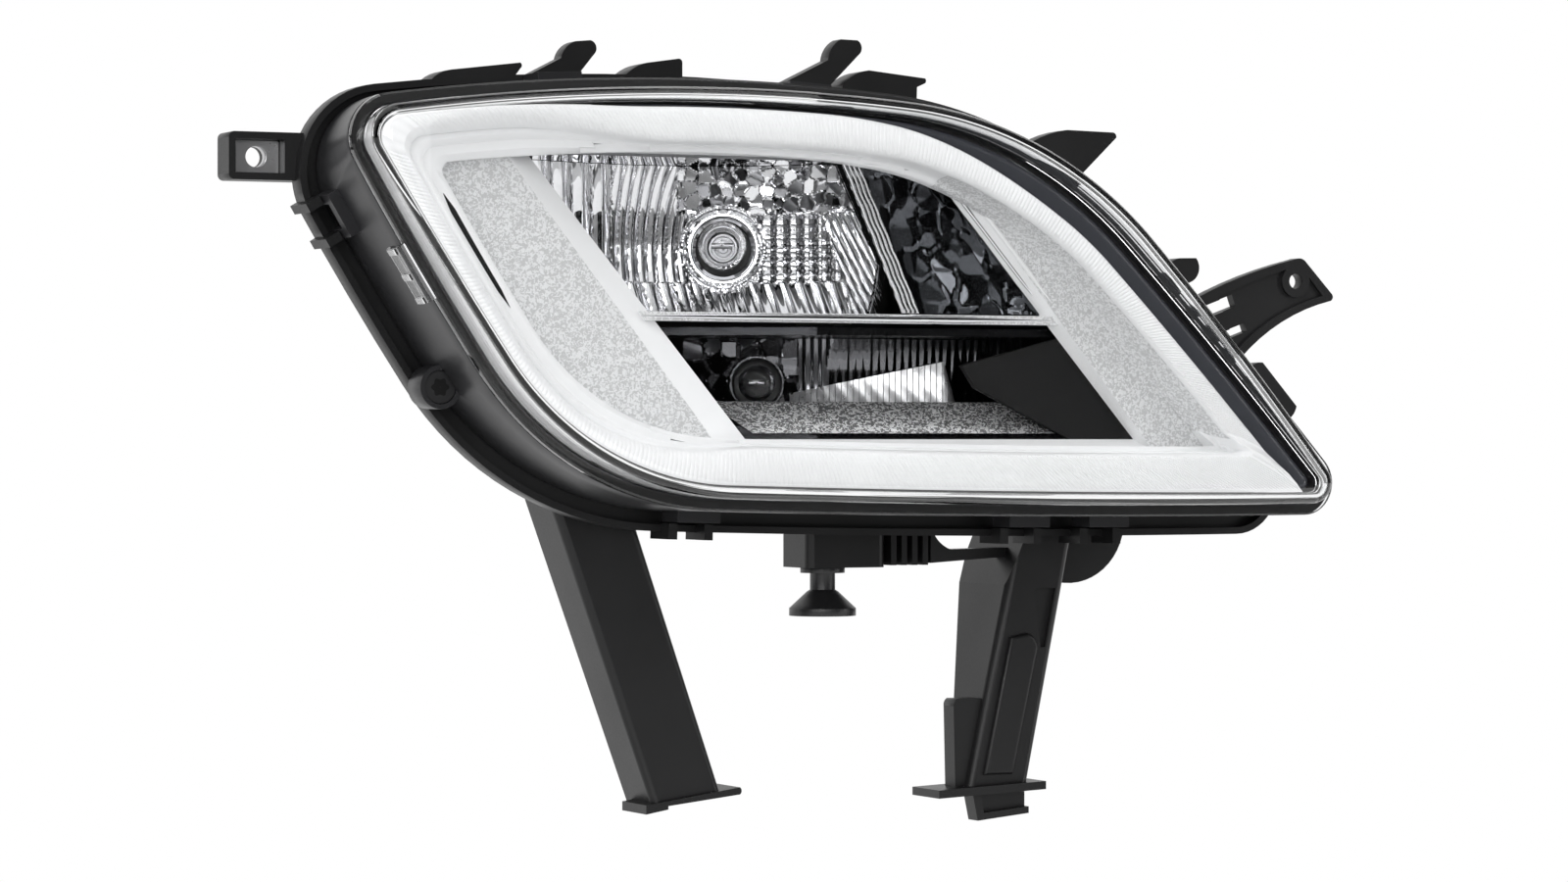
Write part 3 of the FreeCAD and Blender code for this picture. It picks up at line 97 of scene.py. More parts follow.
# %% Moulded skin: grain, sheen patches and slight colour drift
skin, skin_in, skin_out = new_group(
    "moulded_skin",
    [("Color", "NodeSocketColor", (0.03, 0.03, 0.03, 1)), ("Roughness", "NodeSocketFloat", 0.4),
     ("Drift", "NodeSocketFloat", 0.15), ("Grain Scale", "NodeSocketFloat", 2500.0)],
    [("Color", "NodeSocketColor"), ("Roughness", "NodeSocketFloat"), ("Height", "NodeSocketFloat")])
place = skin.nodes.new("ShaderNodeTexCoord")
patches = skin.nodes.new("ShaderNodeTexNoise")
patches.inputs["Scale"].default_value = 35.0
patches.inputs["Detail"].default_value = 4.0
grain = skin.nodes.new("ShaderNodeTexNoise")
grain.inputs["Detail"].default_value = 2.0
skin.links.new(place.outputs["Object"], patches.inputs["Vector"])
skin.links.new(place.outputs["Object"], grain.inputs["Vector"])
skin.links.new(skin_in.outputs["Grain Scale"], grain.inputs["Scale"])
swing = math_node(skin, "SUBTRACT", patches.outputs["Fac"], 0.5)
swing = math_node(skin, "MULTIPLY", swing, skin_in.outputs["Drift"])
tone = skin.nodes.new("ShaderNodeHueSaturation")
skin.links.new(skin_in.outputs["Color"], tone.inputs["Color"])
skin.links.new(math_node(skin, "ADD", math_node(skin, "MULTIPLY", swing, 3.0), 1.0), tone.inputs["Value"])
skin.links.new(tone.outputs["Color"], skin_out.inputs["Color"])
speck = math_node(skin, "MULTIPLY", math_node(skin, "SUBTRACT", grain.outputs["Fac"], 0.5), 0.12)
rough = math_node(skin, "ADD", math_node(skin, "ADD", skin_in.outputs["Roughness"], swing), speck)
skin.links.new(rough, skin_out.inputs["Roughness"])
skin.links.new(grain.outputs["Fac"], skin_out.inputs["Height"])
print("group:", skin.name)

# %% Stipple: a grain of short worms, on the flat front faces only or everywhere, and painted shade in front of a given depth
stipple, stipple_in, stipple_out = new_group(
    "moulded_stipple",
    [("Panel Color", "NodeSocketColor", (0.7, 0.7, 0.7, 1)), ("Plain Color", "NodeSocketColor", (0.9, 0.9, 0.9, 1)),
     ("Front Level", "NodeSocketFloat", -0.0296), ("Rim Level", "NodeSocketFloat", -0.0304),
     ("Everywhere", "NodeSocketFloat", 0.0), ("Scale", "NodeSocketFloat", 1300.0),
     ("Pit Value", "NodeSocketFloat", 0.78), ("Spread", "NodeSocketFloat", 0.3)],
    [("Color", "NodeSocketColor"), ("Roughness", "NodeSocketFloat"), ("Height", "NodeSocketFloat")])
facing = stipple.nodes.new("ShaderNodeNewGeometry")
split_normal = stipple.nodes.new("ShaderNodeSeparateXYZ")
split_place = stipple.nodes.new("ShaderNodeSeparateXYZ")
where = stipple.nodes.new("ShaderNodeTexCoord")
worms = stipple.nodes.new("ShaderNodeTexNoise")
stipple.links.new(stipple_in.outputs["Scale"], worms.inputs["Scale"])
worms.inputs["Detail"].default_value = 0.6
worms.inputs["Distortion"].default_value = 1.2
stipple.links.new(facing.outputs["True Normal"], split_normal.inputs["Vector"])
stipple.links.new(where.outputs["Object"], split_place.inputs["Vector"])
stipple.links.new(where.outputs["Object"], worms.inputs["Vector"])
flat = math_node(stipple, "LESS_THAN", split_normal.outputs["Y"], -0.98)
behind = math_node(stipple, "GREATER_THAN", split_place.outputs["Y"], stipple_in.outputs["Front Level"])
front_panel = math_node(stipple, "MULTIPLY", flat, behind)
panel = math_node(stipple, "MAXIMUM", front_panel, stipple_in.outputs["Everywhere"])
blend = stipple.nodes.new("ShaderNodeMix")
blend.data_type = "RGBA"
stipple.links.new(panel, blend.inputs["Factor"])
stipple.links.new(stipple_in.outputs["Plain Color"], blend.inputs["A"])
stipple.links.new(stipple_in.outputs["Panel Color"], blend.inputs["B"])
pits = math_node(stipple, "MULTIPLY", math_node(stipple, "GREATER_THAN", worms.outputs["Fac"], 0.5), panel)
shade = stipple.nodes.new("ShaderNodeHueSaturation")
stipple.links.new(blend.outputs["Result"], shade.inputs["Color"])
lift = math_node(stipple, "MULTIPLY", pits, stipple_in.outputs["Spread"])
dip = math_node(stipple, "SUBTRACT", 1.0, math_node(stipple, "MULTIPLY", panel, math_node(
    stipple, "SUBTRACT", 1.0, stipple_in.outputs["Pit Value"])))
stipple.links.new(math_node(stipple, "ADD", lift, dip), shade.inputs["Value"])
# Faces in front of this depth turn dark blue-grey: painted shade for the dark zone that the black frame makes behind
# the lens edge.
rim = math_node(stipple, "LESS_THAN", split_place.outputs["Y"], stipple_in.outputs["Rim Level"])
shaded = stipple.nodes.new("ShaderNodeMix")
shaded.data_type = "RGBA"
shaded.inputs["B"].default_value = (0.04, 0.042, 0.05, 1)
stipple.links.new(rim, shaded.inputs["Factor"])
stipple.links.new(shade.outputs["Color"], shaded.inputs["A"])
stipple.links.new(shaded.outputs["Result"], stipple_out.inputs["Color"])
stipple.links.new(math_node(stipple, "ADD", math_node(stipple, "MULTIPLY", panel, 0.22), 0.28),
                  stipple_out.inputs["Roughness"])
stipple.links.new(math_node(stipple, "MULTIPLY", worms.outputs["Fac"], panel), stipple_out.inputs["Height"])
print("group:", stipple.name)


# %% [markdown]
# ## Finishes
# The lamp has few materials: black plastics, a silver-white trim, aluminised mirrors, clear lens and bulb glass, rubber
# and some metal. Each finish is one Principled shader. Values that are the same everywhere are set on its own sockets,
# and only what varies over the surface is linked. Mirrors use full metal. Clear parts use transmission, and let shadow
# and diffuse rays straight through, because otherwise the optics behind the lens would stay dark.

# %% Material builder
def finish_of(name, color, roughness, drift=0.15, grain_scale=2500.0, bump=0.00002, bump_strength=0.3, **fixed):
    material = bpy.data.materials.new(name)
    material.use_nodes = True
    tree = material.node_tree
    shader = tree.nodes["Principled BSDF"]
    for label, value in fixed.items():
        shader.inputs[label.replace("_", " ")].default_value = value
    effect = tree.nodes.new("ShaderNodeGroup")
    effect.node_tree = skin
    effect.inputs["Color"].default_value = (*color, 1)
    effect.inputs["Roughness"].default_value = roughness
    effect.inputs["Drift"].default_value = drift
    effect.inputs["Grain Scale"].default_value = grain_scale
    tree.links.new(effect.outputs["Color"], shader.inputs["Base Color"])
    tree.links.new(effect.outputs["Roughness"], shader.inputs["Roughness"])
    if bump_strength:
        relief = tree.nodes.new("ShaderNodeBump")
        relief.inputs["Strength"].default_value = bump_strength
        relief.inputs["Distance"].default_value = bump
        tree.links.new(effect.outputs["Height"], relief.inputs["Height"])
        tree.links.new(relief.outputs["Normal"], shader.inputs["Normal"])
    return material


def stippled_finish(name, panel_color, plain_color, metallic=0.1, bump=0.00022, **grain):
    """Grained on the flat panels that face the front, or everywhere; plain and lighter on every other face. Faces in
    front of a given depth get painted shade, a dark blue-grey.
    """
    material = bpy.data.materials.new(name)
    material.use_nodes = True
    tree = material.node_tree
    shader = tree.nodes["Principled BSDF"]
    shader.inputs["Metallic"].default_value = metallic
    effect = tree.nodes.new("ShaderNodeGroup")
    effect.node_tree = stipple
    for label, value in grain.items():
        effect.inputs[label.replace("_", " ")].default_value = value
    effect.inputs["Panel Color"].default_value = (*panel_color, 1)
    effect.inputs["Plain Color"].default_value = (*plain_color, 1)
    relief = tree.nodes.new("ShaderNodeBump")
    relief.inputs["Strength"].default_value = 0.8
    relief.inputs["Distance"].default_value = bump
    tree.links.new(effect.outputs["Color"], shader.inputs["Base Color"])
    tree.links.new(effect.outputs["Roughness"], shader.inputs["Roughness"])
    tree.links.new(effect.outputs["Height"], relief.inputs["Height"])
    tree.links.new(relief.outputs["Normal"], shader.inputs["Normal"])
    return material


def clear_finish(name, ior, tint, roughness=0.02):
    material = bpy.data.materials.new(name)
    material.use_nodes = True
    tree = material.node_tree
    shader = tree.nodes["Principled BSDF"]
    shader.inputs["Base Color"].default_value = (*tint, 1)
    shader.inputs["Transmission Weight"].default_value = 1.0
    shader.inputs["IOR"].default_value = ior
    haze = tree.nodes.new("ShaderNodeTexNoise")
    haze.inputs["Scale"].default_value = 18.0
    haze.inputs["Detail"].default_value = 3.0
    where = tree.nodes.new("ShaderNodeTexCoord")
    tree.links.new(where.outputs["Object"], haze.inputs["Vector"])
    tree.links.new(math_node(tree, "MULTIPLY", haze.outputs["Fac"], roughness), shader.inputs["Roughness"])
    path = tree.nodes.new("ShaderNodeLightPath")
    through = tree.nodes.new("ShaderNodeBsdfTransparent")
    mix = tree.nodes.new("ShaderNodeMixShader")
    passing = math_node(tree, "MAXIMUM", path.outputs["Is Shadow Ray"], path.outputs["Is Diffuse Ray"])
    tree.links.new(passing, mix.inputs["Fac"])
    tree.links.new(shader.outputs["BSDF"], mix.inputs[1])
    tree.links.new(through.outputs["BSDF"], mix.inputs[2])
    tree.links.new(mix.outputs["Shader"], tree.nodes["Material Output"].inputs["Surface"])
    return material


FINISH = {
    "housing": finish_of("housing_black", (0.011, 0.011, 0.0115), 0.4, 0.18, 1800.0, 0.00004,
                         Specular_IOR_Level=0.34),
    "frame": finish_of("frame_satin", (0.020, 0.020, 0.022), 0.36, 0.1, 2600.0, 0.00002, Specular_IOR_Level=0.5),
    # The trim's colour turns dark blue-grey in front of the lens edge: painted shade.
    "trim": stippled_finish("trim_silver_white", (0.78, 0.785, 0.79), (0.92, 0.925, 0.93)),
    "band": finish_of("band_white", (0.93, 0.935, 0.94), 0.3, 0.04, 1800.0, 0.00004, 0.2),
    "mirror": finish_of("mirror_aluminised", (0.92, 0.92, 0.93), 0.03, 0.02, 900.0, 0.0, 0.0, Metallic=1.0),
    # Mirror darkened to a fifth: its dark colour is painted shade, used on the lower chamber back and the signal
    # collar.
    "shaded_mirror": finish_of("mirror_painted_shade", (0.20, 0.20, 0.21), 0.07, 0.04, 900.0, 0.0, 0.0, Metallic=1.0),
    # Ledge: its strong dark and bright specks are partly the real stipple, partly painted glints and shade of the
    # rippled metal.
    "ledge": stippled_finish("ledge_stipple_painted_glints", (0.92, 0.92, 0.93), (0.92, 0.92, 0.93), 0.4, 0.0004,
                             Everywhere=1.0, Rim_Level=-1.0, Scale=950.0, Pit_Value=0.3, Spread=1.1),
    "panel": stippled_finish("panel_stippled", (0.78, 0.785, 0.79), (0.92, 0.925, 0.93),
                             Everywhere=1.0, Rim_Level=-1.0),
    "shade": finish_of("mirror_in_shade", (0.045, 0.045, 0.048), 0.25, 0.04, 900.0, 0.0, 0.0, Metallic=1.0),
    # The side mask's wavy mirror is dark: painted reflection of the dark inside of the lamp.
    "dark_painted_mirror": finish_of("mask_mirror_painted_dark", (0.11, 0.115, 0.125), 0.07, 0.04, 900.0, 0.0, 0.0, Metallic=1.0),
    "ramp": finish_of("ramp_satin_metal", (0.88, 0.88, 0.89), 0.3, 0.04, 900.0, 0.0, 0.0, Metallic=0.9),
    # The side mask itself is black: painted reflection of the dark inside of the lamp.
    "gloss": finish_of("mask_gloss_painted_dark", (0.012, 0.012, 0.014), 0.1, 0.06, 900.0, 0.00003, 0.2),
    # Matte black is also used as painted shade: the slot in the roll and the screw recess.
    "matte": finish_of("matte_black_and_painted_shade", (0.008, 0.008, 0.008), 0.55, 0.1, 2400.0, 0.00008, 0.5,
                       Specular_IOR_Level=0.2),
    "rubber": finish_of("seal_rubber", (0.018, 0.018, 0.018), 0.7, 0.1, 1500.0, 0.00008, 0.5),
    "silicone": finish_of("seal_silicone", (0.42, 0.07, 0.03), 0.5, 0.1, 1500.0, 0.00004, 0.4),
    "steel": finish_of("zinc_steel", (0.55, 0.55, 0.56), 0.3, 0.15, 1200.0, 0.00002, 0.3, Metallic=1.0),
    "brass": finish_of("tinned_brass", (0.72, 0.60, 0.36), 0.28, 0.12, 1200.0, 0.00002, 0.3, Metallic=1.0),
    "nylon": finish_of("natural_nylon", (0.74, 0.71, 0.63), 0.45, 0.08, 1600.0, 0.00003, 0.3),
    "base": finish_of("bulb_base_black", (0.02, 0.02, 0.021), 0.38, 0.15, 2000.0, 0.00003),
    "lens": clear_finish("lens_clear", 1.5, (0.985, 0.99, 0.995)),
    "glass": clear_finish("bulb_glass", 1.47, (0.97, 0.97, 0.98)),
}
print("finishes:", len(FINISH))

# %% Dress the solids
DRESS = {
    "rear_housing": "housing", "front_frame": "frame", "frame_screw": "base", "housing_seal": "rubber",
    "lens_seal": "rubber", "lens": "lens", "trim_bezel": "trim", "side_mask": "gloss", "blanking_plate": "matte",
    "fog_reflector": "mirror", "signal_reflector": "shade", "pivot_pins": "steel", "pivot_bushes": "nylon",
    "aim_screw": "base", "aim_screw_seal": "rubber", "aim_clip": "steel", "aim_nut": "nylon",
    "fog_bulb_glass": "glass", "signal_bulb_glass": "glass", "fog_bulb_filament": "steel",
    "signal_bulb_filament": "steel", "fog_bulb_base": "base", "signal_bulb_base": "base",
    "fog_bulb_contacts": "brass", "signal_bulb_contacts": "brass", "fog_bulb_seal": "silicone",
    "signal_bulb_seal": "silicone", "vent_cap": "rubber", "tab_clip_nut": "steel",
}
SOFT_EDGE = {"rear_housing": 0.45, "front_frame": 0.4, "aim_screw": 0.25, "fog_bulb_base": 0.35,
             "signal_bulb_base": 0.35, "tab_clip_nut": 0.25, "blanking_plate": 0.3, "side_mask": 0.3,
             "vent_cap": 0.3, "frame_screw": 0.2}


def smooth_by_angle(thing, degrees):
    mesh = thing.data
    for face in mesh.polygons:
        face.use_smooth = True
    mesh.set_sharp_from_angle(angle=math.radians(degrees))


def soften(thing, width):
    """Rounds the sharp edges by modifiers, so the solid's own mesh stays as it is."""
    weld = thing.modifiers.new("weld", "WELD")
    weld.merge_threshold = 1e-6
    bevel = thing.modifiers.new("soft_edge", "BEVEL")
    bevel.width = width * MM
    bevel.segments = 2
    bevel.limit_method = "ANGLE"
    bevel.angle_limit = math.radians(38)
    bevel.harden_normals = True


for name, thing in nodes.items():
    thing.data.materials.clear()
    thing.data.materials.append(FINISH[DRESS[name]])
    if name in SOFT_EDGE:
        soften(thing, SOFT_EDGE[name])
print("dressed:", len(DRESS), "softened:", len(SOFT_EDGE))

# %% [markdown]
# ## The leaf outline
# The lens, the trim and the frame all follow one leaf shape: four long arcs joined by four corner arcs.
# It could be traced as a curve and scaled, but a scaled copy isn't parallel to the first. The same construction as in
# the solids gives any true inset, and each point keeps its share of its own arc, so outlines of different insets can
# be joined point by point.

# %% Leaf outline points
SIDES = ((-48.0, -12.5, 43.8, 1400.0), (-195.0, 47.0, 90.0, 600.0),
         (-265.0, -13.0, 212.9, 900.0), (-98.5, -63.7, 269.4, 4400.0))
CORNERS = (118.0, 11.0, 80.0, 8.5)
LEAST_ROUND = 2.2


def leaf_arcs(offset, upper_left=CORNERS[1]):
    sides = []
    for x, z, angle, radius in SIDES:
        turn = math.radians(angle)
        sides.append((Vector((x - radius * math.cos(turn), z - radius * math.sin(turn))), radius + offset, angle))
    centres = []
    rounds = []
    for index in range(4):
        (one, first, angle), (two, second, angle_two) = sides[index], sides[(index + 1) % 4]
        radius = max((upper_left if index == 1 else CORNERS[index]) + offset, LEAST_ROUND)
        span = two - one
        along = ((first - radius) ** 2 - (second - radius) ** 2 + span.length ** 2) / (2 * span.length)
        across = math.sqrt((first - radius) ** 2 - along ** 2)
        unit = span.normalized()
        turn = math.radians(angle + ((angle_two - angle) % 360) / 2)
        normal = Vector((-unit.y, unit.x))
        if normal.dot(Vector((math.cos(turn), math.sin(turn)))) < 0:
            normal = -normal
        centres.append(one + unit * along + normal * across)
        rounds.append(radius)
    arcs = []
    for index in range(4):
        centre, radius, _ = sides[index]
        following = sides[(index + 1) % 4][0]
        begin = math.atan2(*reversed(centres[index - 1] - centre))
        end = math.atan2(*reversed(centres[index] - centre))
        leave = math.atan2(*reversed(centres[index] - following))
        arcs.append((centre, radius, begin, end + (2 * math.pi if end < begin else 0)))
        arcs.append((centres[index], rounds[index], end, leave + (2 * math.pi if leave < end else 0)))
    return arcs


def leaf_points(offset, counts, upper_left=CORNERS[1]):
    """Points (x, z) of the leaf outline in mm, with a given number of steps on each of its eight arcs."""
    points = []
    for (centre, radius, begin, end), count in zip(leaf_arcs(offset, upper_left), counts):
        for step in range(count):
            turn = begin + (end - begin) * step / count
            points.append(centre + Vector((math.cos(turn), math.sin(turn))) * radius)
    return points


def arc_lengths(offset):
    return [radius * (end - begin) for _, radius, begin, end in leaf_arcs(offset)]


print("leaf lengths:", [round(length, 1) for length in arc_lengths(0.0)])


# %% [markdown]
# ## Mesh helpers
# Most fine forms of the lamp are sheets or rings, so one helper makes them all from rows of points: neighbouring rows
# are joined by quads. Modifiers on a curve could do some of it, but rows keep every edge where it is wanted. A piece
# then gets its finish and rides on the body that carries it.

# %% Rows to mesh
def piece_from_rows(name, rows, closed_rows=False, closed_ring=False, caps=(), smooth=None):
    mesh = bpy.data.meshes.new(name)
    points = [tuple(value * MM for value in point) for row in rows for point in row]
    width = len(rows[0])
    faces = []
    for r in range(len(rows) - (0 if closed_ring else 1)):
        below = r * width
        above = ((r + 1) % len(rows)) * width
        for c in range(width - (0 if closed_rows else 1)):
            n = (c + 1) % width
            faces.append((below + c, below + n, above + n, above + c))
    for row in caps:
        faces.append(tuple(row * width + c for c in range(width)))
    mesh.from_pydata(points, [], faces)
    mesh.validate()
    shape = bmesh.new()
    shape.from_mesh(mesh)
    bmesh.ops.recalc_face_normals(shape, faces=shape.faces)
    shape.to_mesh(mesh)
    shape.free()
    thing = bpy.data.objects.new(name, mesh)
    bpy.context.scene.collection.objects.link(thing)
    if smooth is not None:
        smooth_by_angle(thing, smooth)
    return thing


def settle(thing, finish, body):
    thing.data.materials.append(FINISH[finish])
    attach(thing, body)
    print(thing.name, "faces:", len(thing.data.polygons))
    return thing


print("helpers: piece_from_rows, settle")

# %% [markdown]
# ## Clear lens
# The lens is a domed cover with a stepped foot and a rounded edge. Its solid is made of many small flat facets,
# which would show in the reflections. Subdividing it would be smooth, but would draw in the corners. So a smooth skin
# replaces it: outlines of the leaf are stacked from the foot, over the edge, and then shrunk towards the middle of
# the dome.

# %% Smooth lens
LENS_WALL = 2.4
LENS_BACK = -(0.8 + 34.0 + 0.8)
LENS_FRONT = LENS_BACK - LENS_WALL
DOME = (-158.0, LENS_BACK - 20.0 + 1100.0, -8.0, 1100.0)
STEPS = (60, 40, 60, 14, 60, 40, 60, 14)
INNER_SHARES = (0.97, 0.92, 0.84, 0.74, 0.62, 0.5, 0.38, 0.26, 0.14, 0.05)
LEG_ROUND = 12.4


def dome_y(x, z, drop):
    reach = DOME[3] - drop
    return DOME[1] - math.sqrt(reach ** 2 - (x - DOME[0]) ** 2 - (z - DOME[2]) ** 2)


def rim_row(offset, level, upper_left=CORNERS[1]):
    return [(x, level, z) for x, z in leaf_points(offset, STEPS, upper_left)]


def crown_rows(inset, drop, edge, turns):
    """Rows from the top of the wall, round the edge, to the middle of the dome."""
    rows = []
    for step in range(turns + 1):
        turn = math.pi / 2 * step / turns
        points = leaf_points(-inset - edge * (1 - math.cos(turn)), STEPS)
        rows.append([(x, dome_y(x, z, drop) + edge * (1 - math.sin(turn)), z) for x, z in points])
    last = [(x, z) for x, _, z in rows[-1]]
    middle = (DOME[0], DOME[2])
    for share in INNER_SHARES:
        row = []
        for x, z in last:
            px = middle[0] + (x - middle[0]) * share
            pz = middle[1] + (z - middle[1]) * share
            row.append((px, dome_y(px, pz, drop), pz))
        rows.append(row)
    return rows


SKIN_DROP = 0.03  # keeps the smooth dome inside the flat facets of the solid
outside = crown_rows(3.0, SKIN_DROP, 4.5, 10)
inside = crown_rows(5.4, LENS_WALL, 2.0, 6)
lens_rows = list(reversed(inside))
lens_rows += [rim_row(-5.4, LENS_BACK + 6.0), rim_row(-3.3, LENS_BACK + 6.0, LEG_ROUND),
              rim_row(-3.3, LENS_BACK, LEG_ROUND),
              rim_row(0.0, LENS_BACK), rim_row(0.0, LENS_FRONT + 0.5), rim_row(-0.5, LENS_FRONT),
              rim_row(-3.0, LENS_FRONT)]
lens_rows += outside
lens_skin = piece_from_rows("lens_skin", lens_rows, closed_rows=True, caps=(0, len(lens_rows) - 1), smooth=32)
settle(lens_skin, "lens", "housing")
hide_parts("lens")

# %% [markdown]
# ## Tab on the lens rim
# A small clear tab with three ribs stands on the left of the rim. It could be cut from a box, but it has to follow the
# curve of the rim, so one cross-section is carried along that arc.

# %% Clear tab on the lens rim
_, _, LEFT_ANGLE, LEFT_RADIUS = SIDES[2]
LEFT_CENTRE = leaf_arcs(0.0)[4][0]


def rim_place(along, offset):
    """Point beside the left arc of the leaf, at a distance along it from the middle of that side."""
    turn = math.radians(LEFT_ANGLE) + along / LEFT_RADIUS
    return LEFT_CENTRE + Vector((math.cos(turn), math.sin(turn))) * (LEFT_RADIUS + offset)


def bar_along_rim(name, begin, end, sections, finish, body, steps=10, smooth=35):
    """Bar that follows the left side: each section is a closed loop of (offset, y) in mm."""
    rows = []
    for step in range(steps + 1):
        along = begin + (end - begin) * step / steps
        row = []
        for offset, y in sections:
            point = rim_place(along, offset)
            row.append((point.x, y, point.y))
        rows.append(row)
    thing = piece_from_rows(name, rows, closed_rows=True, caps=(0, steps), smooth=smooth)
    return settle(thing, finish, body)


TAB_SECTION = ((0.03, -35.7), (0.6, -35.3), (0.75, -34.6), (0.75, -30.6), (1.1, -30.0), (1.9, -30.0), (2.3, -30.5),
               (2.3, -37.0), (1.8, -37.8), (1.0, -37.95), (0.03, -37.9))
bar_along_rim("lens_tab", -20.3, -4.7, TAB_SECTION, "lens", "housing")
RIB_SECTION = ((2.32, -31.2), (2.9, -31.5), (2.9, -36.2), (2.32, -36.6))
RIB_WIDTH = 1.6
for number, begin in enumerate((-20.2, -13.0, -6.4)):
    bar_along_rim("lens_tab_rib_%d" % (number + 1), begin, begin + RIB_WIDTH, RIB_SECTION, "lens", "housing", 2)

# %% [markdown]
# ## Serrated band
# The light band round the optics is moulded with fine ridges that run across it. A bump map could hint at them, but
# each ridge is real geometry here, because it breaks up the highlights and shows at the edge. The band stands on the
# plain one of the trim and follows the inside of the dome. Its cross-section changes on the way round: rolled beside
# the left panel, flat along the top and bottom, and set back from the lens on the right. So each row of the table
# holds three profiles, and the place round the leaf decides how they are mixed.

# %% Ridges across the band, and the roll beside the left panel
RIDGE_PITCH = 1.15
RIDGE_HEIGHT = 0.26
# Each row: inset and y beside the left panel, along the top and bottom, and on the right; share of the ridge height
BAND_ROWS = ((5.7, -34.5, 7.6, -34.5, 12.6, -34.5, 0.0), (5.7, -43.4, 7.6, -42.0, 12.6, -37.2, 0.0),
             (5.9, -44.1, 7.85, -42.9, 12.8, -38.2, 0.3), (6.4, -44.5, 8.4, -43.4, 13.2, -38.8, 0.8),
             (7.2, -44.6, 9.2, -43.6, 13.9, -39.1, 1.0), (8.2, -44.2, 12.0, -43.7, 15.2, -39.2, 1.0),
             (9.4, -43.0, 14.8, -43.6, 17.0, -39.1, 1.0), (10.4, -41.6, 15.7, -43.2, 17.9, -38.8, 0.8),
             (11.2, -40.0, 16.3, -42.2, 18.4, -38.2, 0.4), (11.4, -38.4, 16.6, -41.0, 18.7, -37.6, 0.0),
             (11.5, -38.3, 16.65, -38.0, 19.0, -36.9, 0.0), (12.0, -38.8, 16.7, -36.5, 19.3, -36.0, 0.0),
             (12.8, -38.9, 16.75, -35.5, 19.6, -35.1, 0.0), (13.6, -38.3, 16.8, -34.8, 19.9, -34.2, 0.0),
             (14.1, -37.2, 17.0, -34.4, 20.2, -33.3, 0.0), (14.4, -36.4, 17.4, -34.2, 20.5, -32.4, 0.0),
             (16.3, -36.25, 18.2, -34.25, 20.9, -31.4, 0.0), (16.7, -35.6, 18.38, -34.22, 21.2, -30.5, 0.0),
             (18.38, -34.4, 18.42, -34.2, 21.5, -29.7, 0.0), (18.45, -29.05, 18.45, -29.05, 21.8, -29.05, 0.0))
NARROW, WIDE = 5.0, 19.0
MIDDLE = 11.5
RIDGE_WAVE = (0.0, 0.75, 1.0, 0.75)
ridge_steps = [len(RIDGE_WAVE) * max(2, round(length / RIDGE_PITCH)) for length in arc_lengths(-MIDDLE)]
narrow_leaf = leaf_points(-NARROW, ridge_steps)
wide_leaf = leaf_points(-WIDE, ridge_steps)


def eased(share):
    share = min(1.0, max(0.0, share))
    return share * share * (3.0 - 2.0 * share)


def beside_left(x, z):
    """1 beside the left panel, falling to 0 along the top and the bottom."""
    return eased(1.0 - (x + 258.0) / 45.0 if z > 10.0 else 1.0 - (x + 238.0) / 60.0)


def on_right(x, z):
    """1 along the slanted right side, falling to 0 along the top and at the lower tip."""
    return eased((x + 165.0) / 75.0) * eased((z + 58.0) / 6.0)


RIGHT_CENTRE = leaf_arcs(0.0)[0][0]
GLASS_GAP = 2.9
WALL_INSET, STEP_INSET = 18.43, 17.3
PLAIN_BAND_CLEAR, STEP_CLEAR = -36.2, -34.2


def band_place(row, first, second):
    """Place, and level in mm before the ridge, of one row of the band; the lower tip is cut along the right side."""
    left_inset, left_y, inset, y, right_inset, right_y, _ = row
    left, right = beside_left(first.x, first.y), on_right(first.x, first.y)
    low = eased((-45.0 - first.y) / 12.0) * (1.0 - left)
    low *= max(0.0, 1.0 - (inset - BAND_ROWS[0][2]) / 4.0)
    place = inset + (left_inset - inset) * left + (right_inset - inset) * right - 1.5 * low
    point = first.lerp(second, (place - NARROW) / (WIDE - NARROW))
    if point.x > -60.0 and point.y < -40.0:
        reach = math.sqrt((SIDES[0][3] - right_inset) ** 2 - (point.y - RIGHT_CENTRE.y) ** 2)
        point.x = min(point.x, RIGHT_CENTRE.x + reach)
    level = y + (left_y - y) * left + (right_y - y) * right
    level = max(level, dome_y(point.x, point.y, LENS_WALL) + GLASS_GAP)
    if NARROW + 0.9 < place < WALL_INSET:
        level = min(level, PLAIN_BAND_CLEAR if place < STEP_INSET else STEP_CLEAR)
    return point, level


band_rows = []
for values in BAND_ROWS:
    row = []
    for index, (first, second) in enumerate(zip(narrow_leaf, wide_leaf)):
        point, level = band_place(values, first, second)
        wave = RIDGE_WAVE[index % len(RIDGE_WAVE)]
        row.append((point.x, level - RIDGE_HEIGHT * wave * values[6], point.y))
    band_rows.append(row)
band = piece_from_rows("serrated_band", band_rows, closed_rows=True, smooth=40)
settle(band, "band", "housing")


# %% [markdown]
# ## Slope and slot beside the band
# On the right the stippled panel rises in a slope to the band. The band's own inner rows already have that form, so a
# thin skin just in front of them takes the stippled finish. Beside the left panel a narrow slot runs along the
# roll. It could be cut with a boolean, but it is so shallow that a thin strip of painted shade on the roll stands in
# for it.

